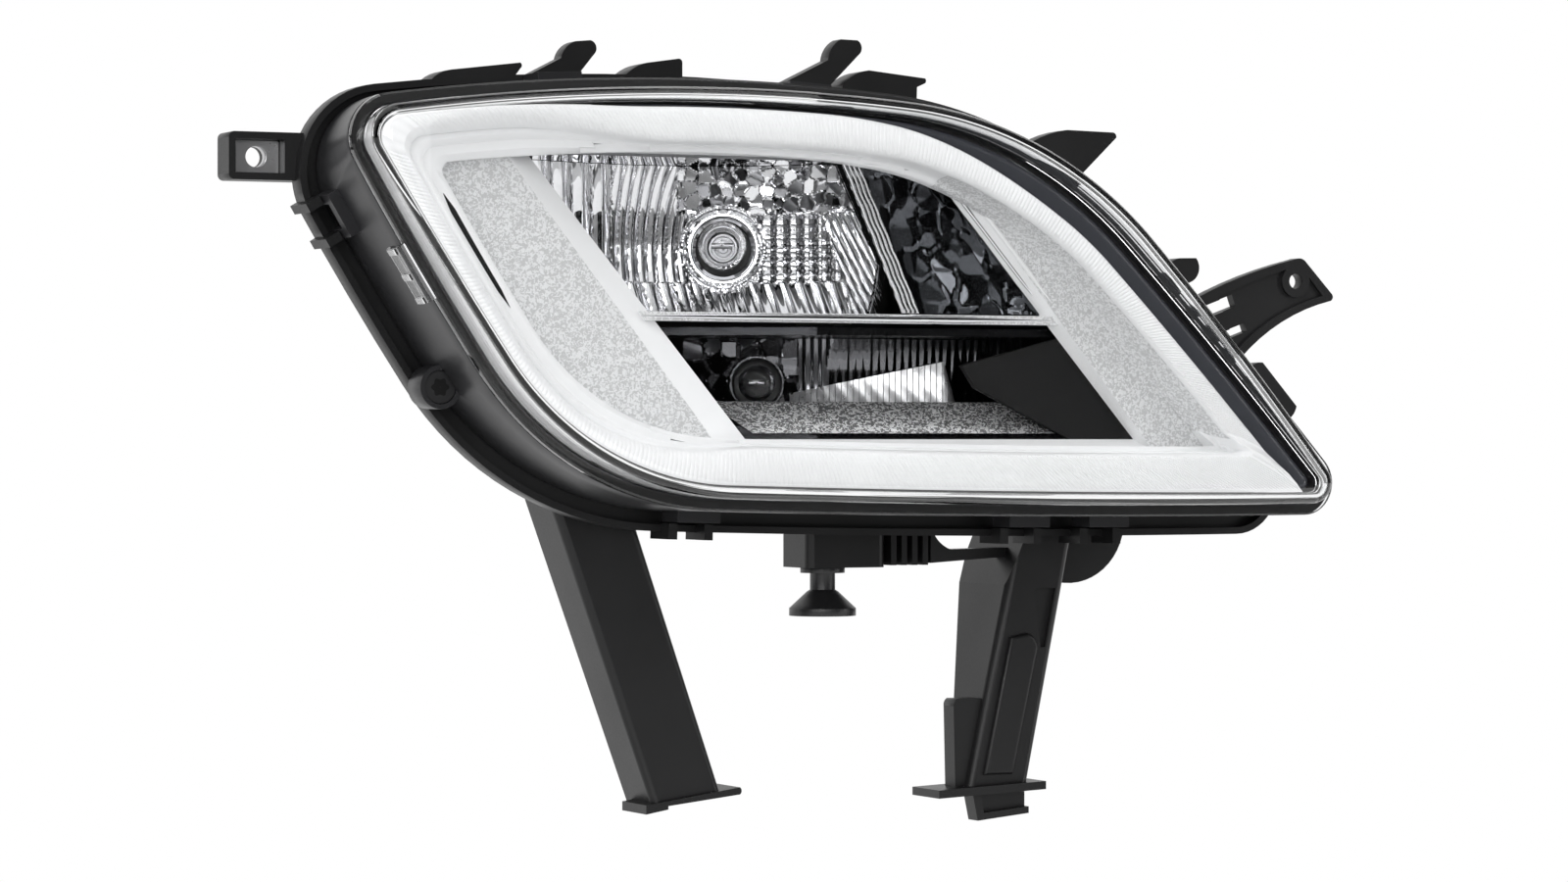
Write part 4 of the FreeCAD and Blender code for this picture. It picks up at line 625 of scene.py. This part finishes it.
# %% Stippled slope from the right panel up to the band
SLOPE_LIFT = (0.06, 0.08)
right_side = [pair for pair in zip(narrow_leaf, wide_leaf) if pair[0].x > -125.0 and pair[0].y > -55.0]
right_side.sort(key=lambda pair: pair[0].y)
slope_rows = []
for values in BAND_ROWS[9:]:
    row = []
    for first, second in right_side:
        point, level = band_place(values, first, second)
        row.append((point.x - SLOPE_LIFT[0], level - SLOPE_LIFT[1], point.y - SLOPE_LIFT[0]))
    slope_rows.append(row)
settle(piece_from_rows("right_slope", slope_rows, smooth=60), "panel", "housing")


# %% Painted shade for the slot in the roll
def slot_row(share):
    """Strip of painted shade for the slot, narrowing to both ends; four points across it in mm."""
    along = -25.5 + 33.5 * share
    half = 0.75 * min(1.0, 6.0 * min(share, 1.0 - share) + 0.1) * (1.0 - 0.35 * share)
    row = []
    for side in (-1.0, -0.4, 0.4, 1.0):
        point = rim_place(along, -15.35 + half * side)
        row.append((point.x, -36.42, point.y))
    return row


# Thin black strip: painted shade for the slot.
painted_slot_shade = piece_from_rows("painted_slot_shade", [slot_row(step / 40) for step in range(41)], smooth=60)
settle(painted_slot_shade, "matte", "housing")

# %% [markdown]
# ## Fluted fog mirror
# The mirror is a paraboloid cut into optics: upright flutes on the left, pillows in rows on the right and
# facets along the top. Sculpting would give a softer, less regular surface. So it is built as a height field over
# the paraboloid, in the mirror's own yawed frame, and it rides on the reflector, so it tilts with it.

# %% Fog mirror
YAW = math.radians(-25.0)
FOG = Vector((-165.5, 18.4, 6.7))
SIGNAL = Vector((-155.0, 20.0, -28.8))


def from_optic(origin, x, y, z):
    return (origin.x + x * math.cos(YAW) - y * math.sin(YAW), origin.y + x * math.sin(YAW) + y * math.cos(YAW),
            origin.z + z)


def scallop(value, pitch):
    share = value / pitch - math.floor(value / pitch)
    return math.sin(math.pi * share)


def hashed(a, b):
    """Repeatable value between 0 and 1 for a pair of whole numbers."""
    value = math.sin(a * 127.1 + b * 311.7) * 43758.5453
    return value - math.floor(value)


def facets(x, z, pitch, slope):
    """Cut-glass facets: flat cells of random tilt round jittered points."""
    column, row = math.floor(x / pitch), math.floor(z / pitch)
    best = None
    for c in range(column - 1, column + 2):
        for r in range(row - 1, row + 2):
            px = (c + 0.15 + 0.7 * hashed(c, r)) * pitch
            pz = (r + 0.15 + 0.7 * hashed(c + 57, r + 13)) * pitch
            distance = (x - px) ** 2 + (z - pz) ** 2
            if best is None or distance < best[0]:
                best = (distance, px, pz, hashed(c + 5, r + 91) - 0.5, hashed(c + 71, r + 3) - 0.5)
    _, px, pz, tilt_x, tilt_z = best
    return slope * ((x - px) * tilt_x + (z - pz) * tilt_z)


BULB_HOLE = 8.6


def fog_relief(x, z):
    """Height of the cut optics: rings, facets above, broad flutes left, ribs right, flutes below, pillows, arcs."""
    radius = math.hypot(x, z)
    if radius < 11.5:
        return 0.6 * scallop(radius - BULB_HOLE, 1.45)
    if z > 9.0 and x > -12.0:
        return 0.6 + facets(x, z, 3.4, 0.9)
    if x < -29.0:
        return 1.1 * scallop(x + 29.0, 4.9)
    if x > 27.0 + (6.0 - z) * 0.3:
        return 0.4 * scallop(x + 0.45 * z, 1.9)
    if z < -9.0:
        return 0.75 * scallop(x + 0.3 * z, 4.0)
    if x > 9.0:
        return 0.45 * scallop(x - 9.0, 3.4) ** 0.8 + 0.4 * scallop(z + 9.0, 3.3) ** 0.8
    return 0.5 * scallop(math.hypot(x, 0.55 * z), 2.5)


def sheet_over(name, origin, x_low, x_high, z_low, z_high, pitch, depth, keep, smooth):
    """Height field seen along the optical axis, with a right edge x_high(z), kept where keep(x, z, point) is true."""
    columns = round((max(x_high(z_low), x_high(z_high)) - x_low) / pitch)
    rows = round((z_high - z_low) / pitch)
    shape = bmesh.new()
    grid = {}
    for r in range(rows + 1):
        z = z_low + (z_high - z_low) * r / rows
        for c in range(columns + 1):
            x = x_low + (x_high(z) - x_low) * c / columns
            point = from_optic(origin, x, depth(x, z), z)
            if keep(x, z, point):
                grid[r, c] = shape.verts.new([value * MM for value in point])
    for r in range(rows):
        for c in range(columns):
            corners = [grid.get(key) for key in ((r, c), (r, c + 1), (r + 1, c + 1), (r + 1, c))]
            if all(corners):
                shape.faces.new(corners)
    mesh = bpy.data.meshes.new(name)
    shape.to_mesh(mesh)
    shape.free()
    thing = bpy.data.objects.new(name, mesh)
    bpy.context.scene.collection.objects.link(thing)
    smooth_by_angle(thing, smooth)
    return thing


FOG_FOCUS = 20.0
FOG_MOUTH = -17.8
FOG_TOP = 21.4
SHEET_LIFT = 0.25
fog_mirror = sheet_over("fog_mirror", FOG, -51.9, lambda z: 29.2 + (FOG_TOP - z) * 0.425, -17.9, FOG_TOP, 0.36,
                        lambda x, z: -(x * x + z * z) / (4 * FOG_FOCUS) - SHEET_LIFT - fog_relief(x, z),
                        lambda x, z, point: point[1] > FOG_MOUTH and math.hypot(x, z) > BULB_HOLE, 28)
settle(fog_mirror, "mirror", "reflector")


# %% [markdown]
# ## Collars round the bulbs
# Each bulb looks out of a stepped ring, and through the glass of the fog bulb its round cap shows. They are turned
# parts, so a profile is turned about the optical axis. A Screw modifier would do the same about one of the object's
# own axes, but here the axis is yawed, so the points are placed directly.

# %% Collars round the bulbs
def collar(name, origin, profile, finish, body, turns=64):
    """Ring turned about the optical axis from (radius, y) points in mm."""
    rows = []
    for step in range(turns):
        turn = 2 * math.pi * step / turns
        rows.append([from_optic(origin, radius * math.cos(turn), y, radius * math.sin(turn)) for radius, y in profile])
    return settle(piece_from_rows(name, rows, closed_ring=True, smooth=35), finish, body)


collar("fog_collar", FOG, ((9.4, -1.3), (9.1, -1.9), (8.7, -1.9), (8.4, -1.2), (8.1, 0.2), (7.4, 0.5), (7.2, 2.4)),
       "mirror", "reflector")
CAP_PROFILE = ((5.3, 5.2), (4.9, 4.4), (4.1, 4.4), (3.8, 5.2), (2.9, 5.2), (2.6, 4.2), (1.6, 4.2), (1.3, 5.2),
               (0.4, 5.2))
collar("fog_bulb_cap", FOG, CAP_PROFILE, "steel", "housing")
# The signal collar takes the darkened mirror: painted shade.
collar("signal_collar", SIGNAL, ((7.6, -1.0), (7.2, -1.6), (6.8, -1.6), (6.6, -0.9), (6.5, 0.6)), "shaded_mirror", "housing")

# %% [markdown]
# ## Lower chamber
# Beside its bulb the lower mirror is a trough with fine upright flutes. Two sheets could meet at a seam, but seen along
# the optical axis the back is the deeper of the bowl and the trough, so one height field covers both.

# %% Back of the chamber
TROUGH_RADIUS = 32.0
SIGNAL_HOLE = 6.8


def trough_level(z):
    """Depth of the trough's curved back at a height above the bulb axis, in mm."""
    curve = math.sqrt(max(TROUGH_RADIUS ** 2 - (z + 0.95) ** 2, 0.0))
    return 7.1 + curve - math.sqrt(TROUGH_RADIUS ** 2 - 12.95 ** 2)


def chamber_depth(x, z):
    bowl = -(x * x + z * z) / 120.0
    trough = (trough_level(z) - SIGNAL.y - x * math.sin(YAW)) / math.cos(YAW)
    return trough if x > 12.0 and trough > bowl else bowl


def chamber_relief(x, z):
    if x > 11.0:
        return 0.3 * scallop(x + 30.0, 2.1)
    return 0.9 + facets(x + 40.0, z + 40.0, 5.2, 1.1)


chamber_back = sheet_over("chamber_back", SIGNAL, -29.8, lambda z: 74.0, -13.6, 11.8, 0.45,
                          lambda x, z: chamber_depth(x, z) - SHEET_LIFT - chamber_relief(x, z),
                          lambda x, z, point: math.hypot(x, z) > SIGNAL_HOLE, 30)
# The chamber back takes the darkened mirror: painted shade inside the chamber.
settle(chamber_back, "shaded_mirror", "housing")


# %% [markdown]
# ## Ramp and ledge
# To the right of the bulb a bright ramp rises, and in front of it lies a sloped ledge with a coarse stipple. The ramp
# is a sheet in fine upright steps, so that each step turns its face to the light. The ledge could be flat with a bump
# map, but its ripple shows in the reflections, so it is a grid with a wavy height and a stippled finish on top. The
# strong dark and bright specks of that finish are partly the real stipple and partly painted glints and shade of the
# metal.

# %% Ramp beside the bulb
RAMP_LEFT, RAMP_WIDTH, RAMP_PEAK, RAMP_FOOT = 6.0, 47.0, 50.0, -5.6
RAMP_STEP = 1.6


def ramp_top(x):
    return -3.2 + (x - RAMP_LEFT) * 0.208 if x < RAMP_PEAK else 5.95 - (x - RAMP_PEAK) * 3.5


def ramp_depth(x, z):
    share = (ramp_top(x) - z) / (ramp_top(x) - RAMP_FOOT)
    return chamber_depth(RAMP_STEP * math.floor(x / RAMP_STEP), z) - 0.7 - 1.2 * share


ramp_rows = []
for step in range(13):
    share = step / 12
    row = []
    for column in range(177):
        x = RAMP_LEFT + RAMP_WIDTH * column / 176
        z = RAMP_FOOT + (ramp_top(x) - RAMP_FOOT) * share
        row.append(from_optic(SIGNAL, x, ramp_depth(x, z) + 0.05 * math.sin(x * 1.3 + z), z))
    ramp_rows.append(row)
settle(piece_from_rows("chamber_ramp", ramp_rows, smooth=25), "ramp", "housing")

# %% Stippled ledge
LEDGE = ((-23.3, -42.62), (6.2, -34.2))
LEDGE_DEEP, LEDGE_WIDE = 160, 190
ledge_rows = []
for row_index in range(LEDGE_DEEP + 1):
    share = row_index / LEDGE_DEEP
    row = []
    for column in range(LEDGE_WIDE + 1):
        x = -176.0 + 99.5 * column / LEDGE_WIDE
        y = LEDGE[0][0] + (LEDGE[1][0] - LEDGE[0][0]) * share
        z = LEDGE[0][1] + (LEDGE[1][1] - LEDGE[0][1]) * share
        phase = 2 * math.pi * y / 2.0 + 2.4 * math.sin(1.1 * x + 1.3 * math.sin(0.7 * y)) + 1.2 * math.sin(2.9 * x + y)
        edge = min(1.0, 12.0 * min(share, 1.0 - share), 12.0 * min(column, LEDGE_WIDE - column) / LEDGE_WIDE)
        row.append((x, y, z + 0.5 + 0.36 * edge * math.sin(phase)))
    ledge_rows.append(row)
settle(piece_from_rows("ledge_stipple", ledge_rows, smooth=60), "ledge", "housing")

# %% [markdown]
# ## Side mask with painted dark reflection
# The triangle beside the fog mirror is a mirror with slow waves and crumpled facets, and bright ribs line its left
# edge. Its dark colour is a painted reflection of the dark inside of the lamp. A displacement modifier could crumple
# it, but a grid between two slanted edges keeps both edges straight, so the rows are stretched between them at each
# height.

# %% Waves and ribs of the side mask
OPENING_TOP, OPENING_BOTTOM = 28.5, -43.6
TOP_RIGHT, BOTTOM_RIGHT = -128.8, -66.3
MASK_FOOT, MASK_HEIGHT, MASK_STEPS = -11.0, 39.0, 60


def opening_right(z):
    return BOTTOM_RIGHT + (z - OPENING_BOTTOM) * (TOP_RIGHT - BOTTOM_RIGHT) / (OPENING_TOP - OPENING_BOTTOM)


def mask_left(z):
    return -130.3 + (z + 11.3) * (-151.0 + 130.5) / 45.3


mask_rows = []
for step in range(MASK_STEPS + 1):
    z = MASK_FOOT + MASK_HEIGHT * step / MASK_STEPS
    left = mask_left(z) + 0.4
    right = opening_right(z) + 1.0
    row = []
    for column in range(MASK_STEPS + 1):
        x = left + (right - left) * column / MASK_STEPS
        wave = math.sin(x * 0.33 + 1.7 * math.sin(z * 0.21)) + 0.6 * math.sin(z * 0.42 + x * 0.12)
        crumple = 0.42 * (wave + 1.6) + 0.3 + facets(x + 300.0, z + 60.0, 6.5, 0.3)
        fade = min(1.0, 4.0 * min(column, MASK_STEPS - column) / MASK_STEPS)
        row.append((x, -25.62 - crumple * fade, z))
    mask_rows.append(row)
settle(piece_from_rows("mask_waves", mask_rows, smooth=60), "dark_painted_mirror", "housing")

rib_rows = []
for step in range(MASK_STEPS + 1):
    z = MASK_FOOT + MASK_HEIGHT * step / MASK_STEPS
    left = mask_left(z) + 0.8
    row = []
    for column in range(49):
        across = 5.2 * column / 48
        row.append((left - across, -25.7 - 0.8 * scallop(across + 0.12 * math.sin(0.9 * z), 1.3), z))
    rib_rows.append(row)
settle(piece_from_rows("mask_ribs", rib_rows, smooth=40), "mirror", "housing")


# %% [markdown]
# ## Edge beads
# Thin round beads follow the slanted right edge of the opening and the bar between the two chambers. A curve with a
# bevel would be quick, but it would be a full round with its back inside the trim, so only the front half is made.

# %% Beads
def bead(name, points, radius, finish):
    """Half-round bead along a line of (x, y, z) points in mm, standing towards the front."""
    rows = []
    for index, point in enumerate(points):
        here = Vector(point)
        along = (Vector(points[min(index + 1, len(points) - 1)]) - Vector(points[max(index - 1, 0)])).normalized()
        side = along.cross(Vector((0, 1, 0))).normalized()
        taper = min(1.0, 0.15 + 4.0 * min(index, len(points) - 1 - index) / len(points))
        rows.append([tuple(here + side * (math.cos(turn) * radius * taper)
                           + Vector((0, -math.sin(turn) * radius * taper, 0)))
                     for turn in [math.pi * step / 8 for step in range(9)]])
    settle(piece_from_rows(name, rows, smooth=50), finish, "housing")


def line_points(begin, end, count=24):
    return [tuple(Vector(begin).lerp(Vector(end), step / count)) for step in range(count + 1)]


bead("edge_bead", line_points((opening_right(27.0) + 1.9, -27.0, 27.0), (opening_right(-10.0) + 1.9, -27.0, -10.0)),
     0.55, "mirror")
bead("edge_bead_outer", line_points((opening_right(27.5) + 4.7, -29.0, 27.5), (opening_right(-8.0) + 4.7, -29.0, -8.0)),
     0.6, "band")
bead("divider_bead", line_points((-208.5 - 0.6, -28.0, -12.55), (opening_right(-12.55) + 0.8, -28.0, -12.55), 40),
     0.95, "mirror")

# %% [markdown]
# ## Screw recess
# The frame screw has a six-lobed drive. A boolean cut would change the solid's own mesh, so a thin face of painted
# shade in the shape of the drive lies on the head, and its place is measured from the solid.

# %% Painted shade for the drive recess of the frame screw
RECESS_STEPS = 36
screw_low, screw_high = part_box("frame_screw")
middle_x, middle_z = (screw_low[0] + screw_high[0]) / 2, (screw_low[2] + screw_high[2]) / 2
head = Vector((middle_x, screw_low[1], middle_z)) / MM
recess_rows = []
for step in range(RECESS_STEPS):
    turn = 2 * math.pi * step / RECESS_STEPS
    lobe = 2.15 + 0.3 * math.cos(6 * turn)
    recess_rows.append([(head.x + lobe * share * math.cos(turn), head.y - 0.06 + 0.02 * share,
                         head.z + lobe * share * math.sin(turn)) for share in (1.0, 0.7, 0.35, 0.05)])
# Black face on the screw head: painted shade for the drive recess.
settle(piece_from_rows("painted_recess_shade", recess_rows, closed_ring=True, smooth=60), "matte", "housing")

# %% [markdown]
# ## Stage
# The lamp is shown on white. A wall that is lit until it is white would need so much light that the trim burns out. So
# floor and backdrop give white to the camera, to glossy rays and through glass, and are plain pale surfaces to all
# other light, so the floor still takes a shadow. The floor ends a little way in front of the lamp, so that the mirrors
# don't fill with white.

# %% White stage
def stage_material(name):
    material = bpy.data.materials.new(name)
    material.use_nodes = True
    tree = material.node_tree
    shader = tree.nodes["Principled BSDF"]
    shader.inputs["Base Color"].default_value = (0.9, 0.9, 0.9, 1)
    shader.inputs["Roughness"].default_value = 0.9
    light = tree.nodes.new("ShaderNodeEmission")
    path = tree.nodes.new("ShaderNodeLightPath")
    mix = tree.nodes.new("ShaderNodeMixShader")
    seen = math_node(tree, "MAXIMUM", path.outputs["Is Camera Ray"], path.outputs["Is Transmission Ray"])
    seen = math_node(tree, "MAXIMUM", seen, path.outputs["Is Glossy Ray"])
    tree.links.new(seen, mix.inputs["Fac"])
    tree.links.new(shader.outputs["BSDF"], mix.inputs[1])
    tree.links.new(light.outputs["Emission"], mix.inputs[2])
    tree.links.new(mix.outputs["Shader"], tree.nodes["Material Output"].inputs["Surface"])
    return material


def plane(name, corners):
    mesh = bpy.data.meshes.new(name)
    mesh.from_pydata(corners, [], [(0, 1, 2, 3)])
    thing = bpy.data.objects.new(name, mesh)
    bpy.context.scene.collection.objects.link(thing)
    thing.data.materials.append(stage_material(name))
    return thing


floor_z = cad_box[0][2] - 0.001
plane("floor", [(-4, -0.42, floor_z), (4, -0.42, floor_z), (4, 4, floor_z), (-4, 4, floor_z)])
plane("backdrop", [(-4, 2.5, floor_z), (4, 2.5, floor_z), (4, 2.5, 4), (-4, 2.5, 4)])
print("stage: floor at", round(floor_z, 4))

# %% [markdown]
# ## Camera
# The lamp is seen 25 degrees from straight ahead, on its left, level with its middle. A camera that looks down would
# make upright edges lean together, so this one stays level, and a long focal length keeps the depth small.

# %% Camera
TARGET = Vector((-0.170, -0.030, -0.0441))
AZIMUTH = math.radians(-25.0)
DISTANCE = 1.2
look = Vector((-math.sin(AZIMUTH), math.cos(AZIMUTH), 0.0))
camera_data = bpy.data.cameras.new("camera")
camera_data.sensor_width = 36.0
camera_data.lens = 108.0
camera = bpy.data.objects.new("camera", camera_data)
camera.location = TARGET - look * DISTANCE
camera.rotation_euler = look.to_track_quat("-Z", "Y").to_euler()
bpy.context.scene.collection.objects.link(camera)
bpy.context.scene.camera = camera
print("camera at:", [round(value, 3) for value in camera.location])

# %% [markdown]
# ## Lamps and sky
# Four soft boxes at a plain level light the pale trim without burning it out. A mirror shows what stands round it, and
# a plain white sky would leave it flat, so glossy rays meet a sky with a height ramp and upright dark bars, as in a
# studio with strips of light. All other rays meet an even sky, and the camera sees white.


# %% Lamps and sky
def softbox(name, place, aim, width, height, power):
    data = bpy.data.lights.new(name, "AREA")
    data.shape = "RECTANGLE"
    data.size = width
    data.size_y = height
    data.energy = power
    lamp = bpy.data.objects.new(name, data)
    lamp.location = place
    lamp.rotation_euler = (Vector(aim) - Vector(place)).to_track_quat("-Z", "Y").to_euler()
    bpy.context.scene.collection.objects.link(lamp)


softbox("key_left", (-1.6, -1.3, 0.7), TARGET, 1.0, 1.2, 12.0)
softbox("top", (-0.2, -0.6, 1.5), TARGET, 1.6, 1.0, 11.0)
softbox("front", (-0.85, -1.5, 0.22), TARGET, 0.6, 0.4, 3.0)
softbox("right", (1.3, -0.9, 0.3), TARGET, 0.5, 1.4, 7.0)
world = bpy.data.worlds.new("studio")
bpy.context.scene.world = world
world.use_nodes = True
tree = world.node_tree
plain = tree.nodes["Background"]
plain.inputs["Color"].default_value = (1, 1, 1, 1)
plain.inputs["Strength"].default_value = 0.4
mirrored = tree.nodes.new("ShaderNodeBackground")
direction = tree.nodes.new("ShaderNodeTexCoord")
split = tree.nodes.new("ShaderNodeSeparateXYZ")
tree.links.new(direction.outputs["Generated"], split.inputs["Vector"])
height_ramp = tree.nodes.new("ShaderNodeValToRGB")
SKY_STEPS = ((0.0, 0.5), (0.38, 0.35), (0.45, 0.25), (0.49, 0.3), (0.52, 0.95), (0.66, 1.25), (0.8, 0.35),
             (0.86, 1.2))
while len(height_ramp.color_ramp.elements) < len(SKY_STEPS):
    height_ramp.color_ramp.elements.new(0.5)
for element, (place, value) in zip(height_ramp.color_ramp.elements, SKY_STEPS):
    element.position = place
    element.color = (value, value, value * 1.01, 1)
tree.links.new(math_node(tree, "ADD", math_node(tree, "MULTIPLY", split.outputs["Z"], 0.5), 0.5),
               height_ramp.inputs["Fac"])
turn = math_node(tree, "ARCTAN2", split.outputs["X"], split.outputs["Y"])
wave = math_node(tree, "SINE", math_node(tree, "ADD", math_node(tree, "MULTIPLY", turn, 3.0), 3.404), 0.0)
bars = math_node(tree, "GREATER_THAN", wave, -0.2)
level = math_node(tree, "MULTIPLY", height_ramp.outputs["Color"],
                  math_node(tree, "ADD", math_node(tree, "MULTIPLY", bars, 0.96), 0.04))
shadow_side = math_node(tree, "GREATER_THAN", split.outputs["X"], 0.45)
level = math_node(tree, "MULTIPLY", level,
                  math_node(tree, "SUBTRACT", 1.0, math_node(tree, "MULTIPLY", shadow_side, 0.85)))
tree.links.new(level, mirrored.inputs["Strength"])
rays = tree.nodes.new("ShaderNodeLightPath")
choose = tree.nodes.new("ShaderNodeMixShader")
tree.links.new(rays.outputs["Is Glossy Ray"], choose.inputs["Fac"])
tree.links.new(plain.outputs["Background"], choose.inputs[1])
tree.links.new(mirrored.outputs["Background"], choose.inputs[2])
white = tree.nodes.new("ShaderNodeBackground")
white.inputs["Color"].default_value = (1, 1, 1, 1)
backing = tree.nodes.new("ShaderNodeMixShader")
tree.links.new(rays.outputs["Is Camera Ray"], backing.inputs["Fac"])
tree.links.new(choose.outputs["Shader"], backing.inputs[1])
tree.links.new(white.outputs["Background"], backing.inputs[2])
tree.links.new(backing.outputs["Shader"], tree.nodes["World Output"].inputs["Surface"])
bpy.context.scene.view_settings.view_transform = "Standard"
print("lamps:", len(bpy.data.lights))
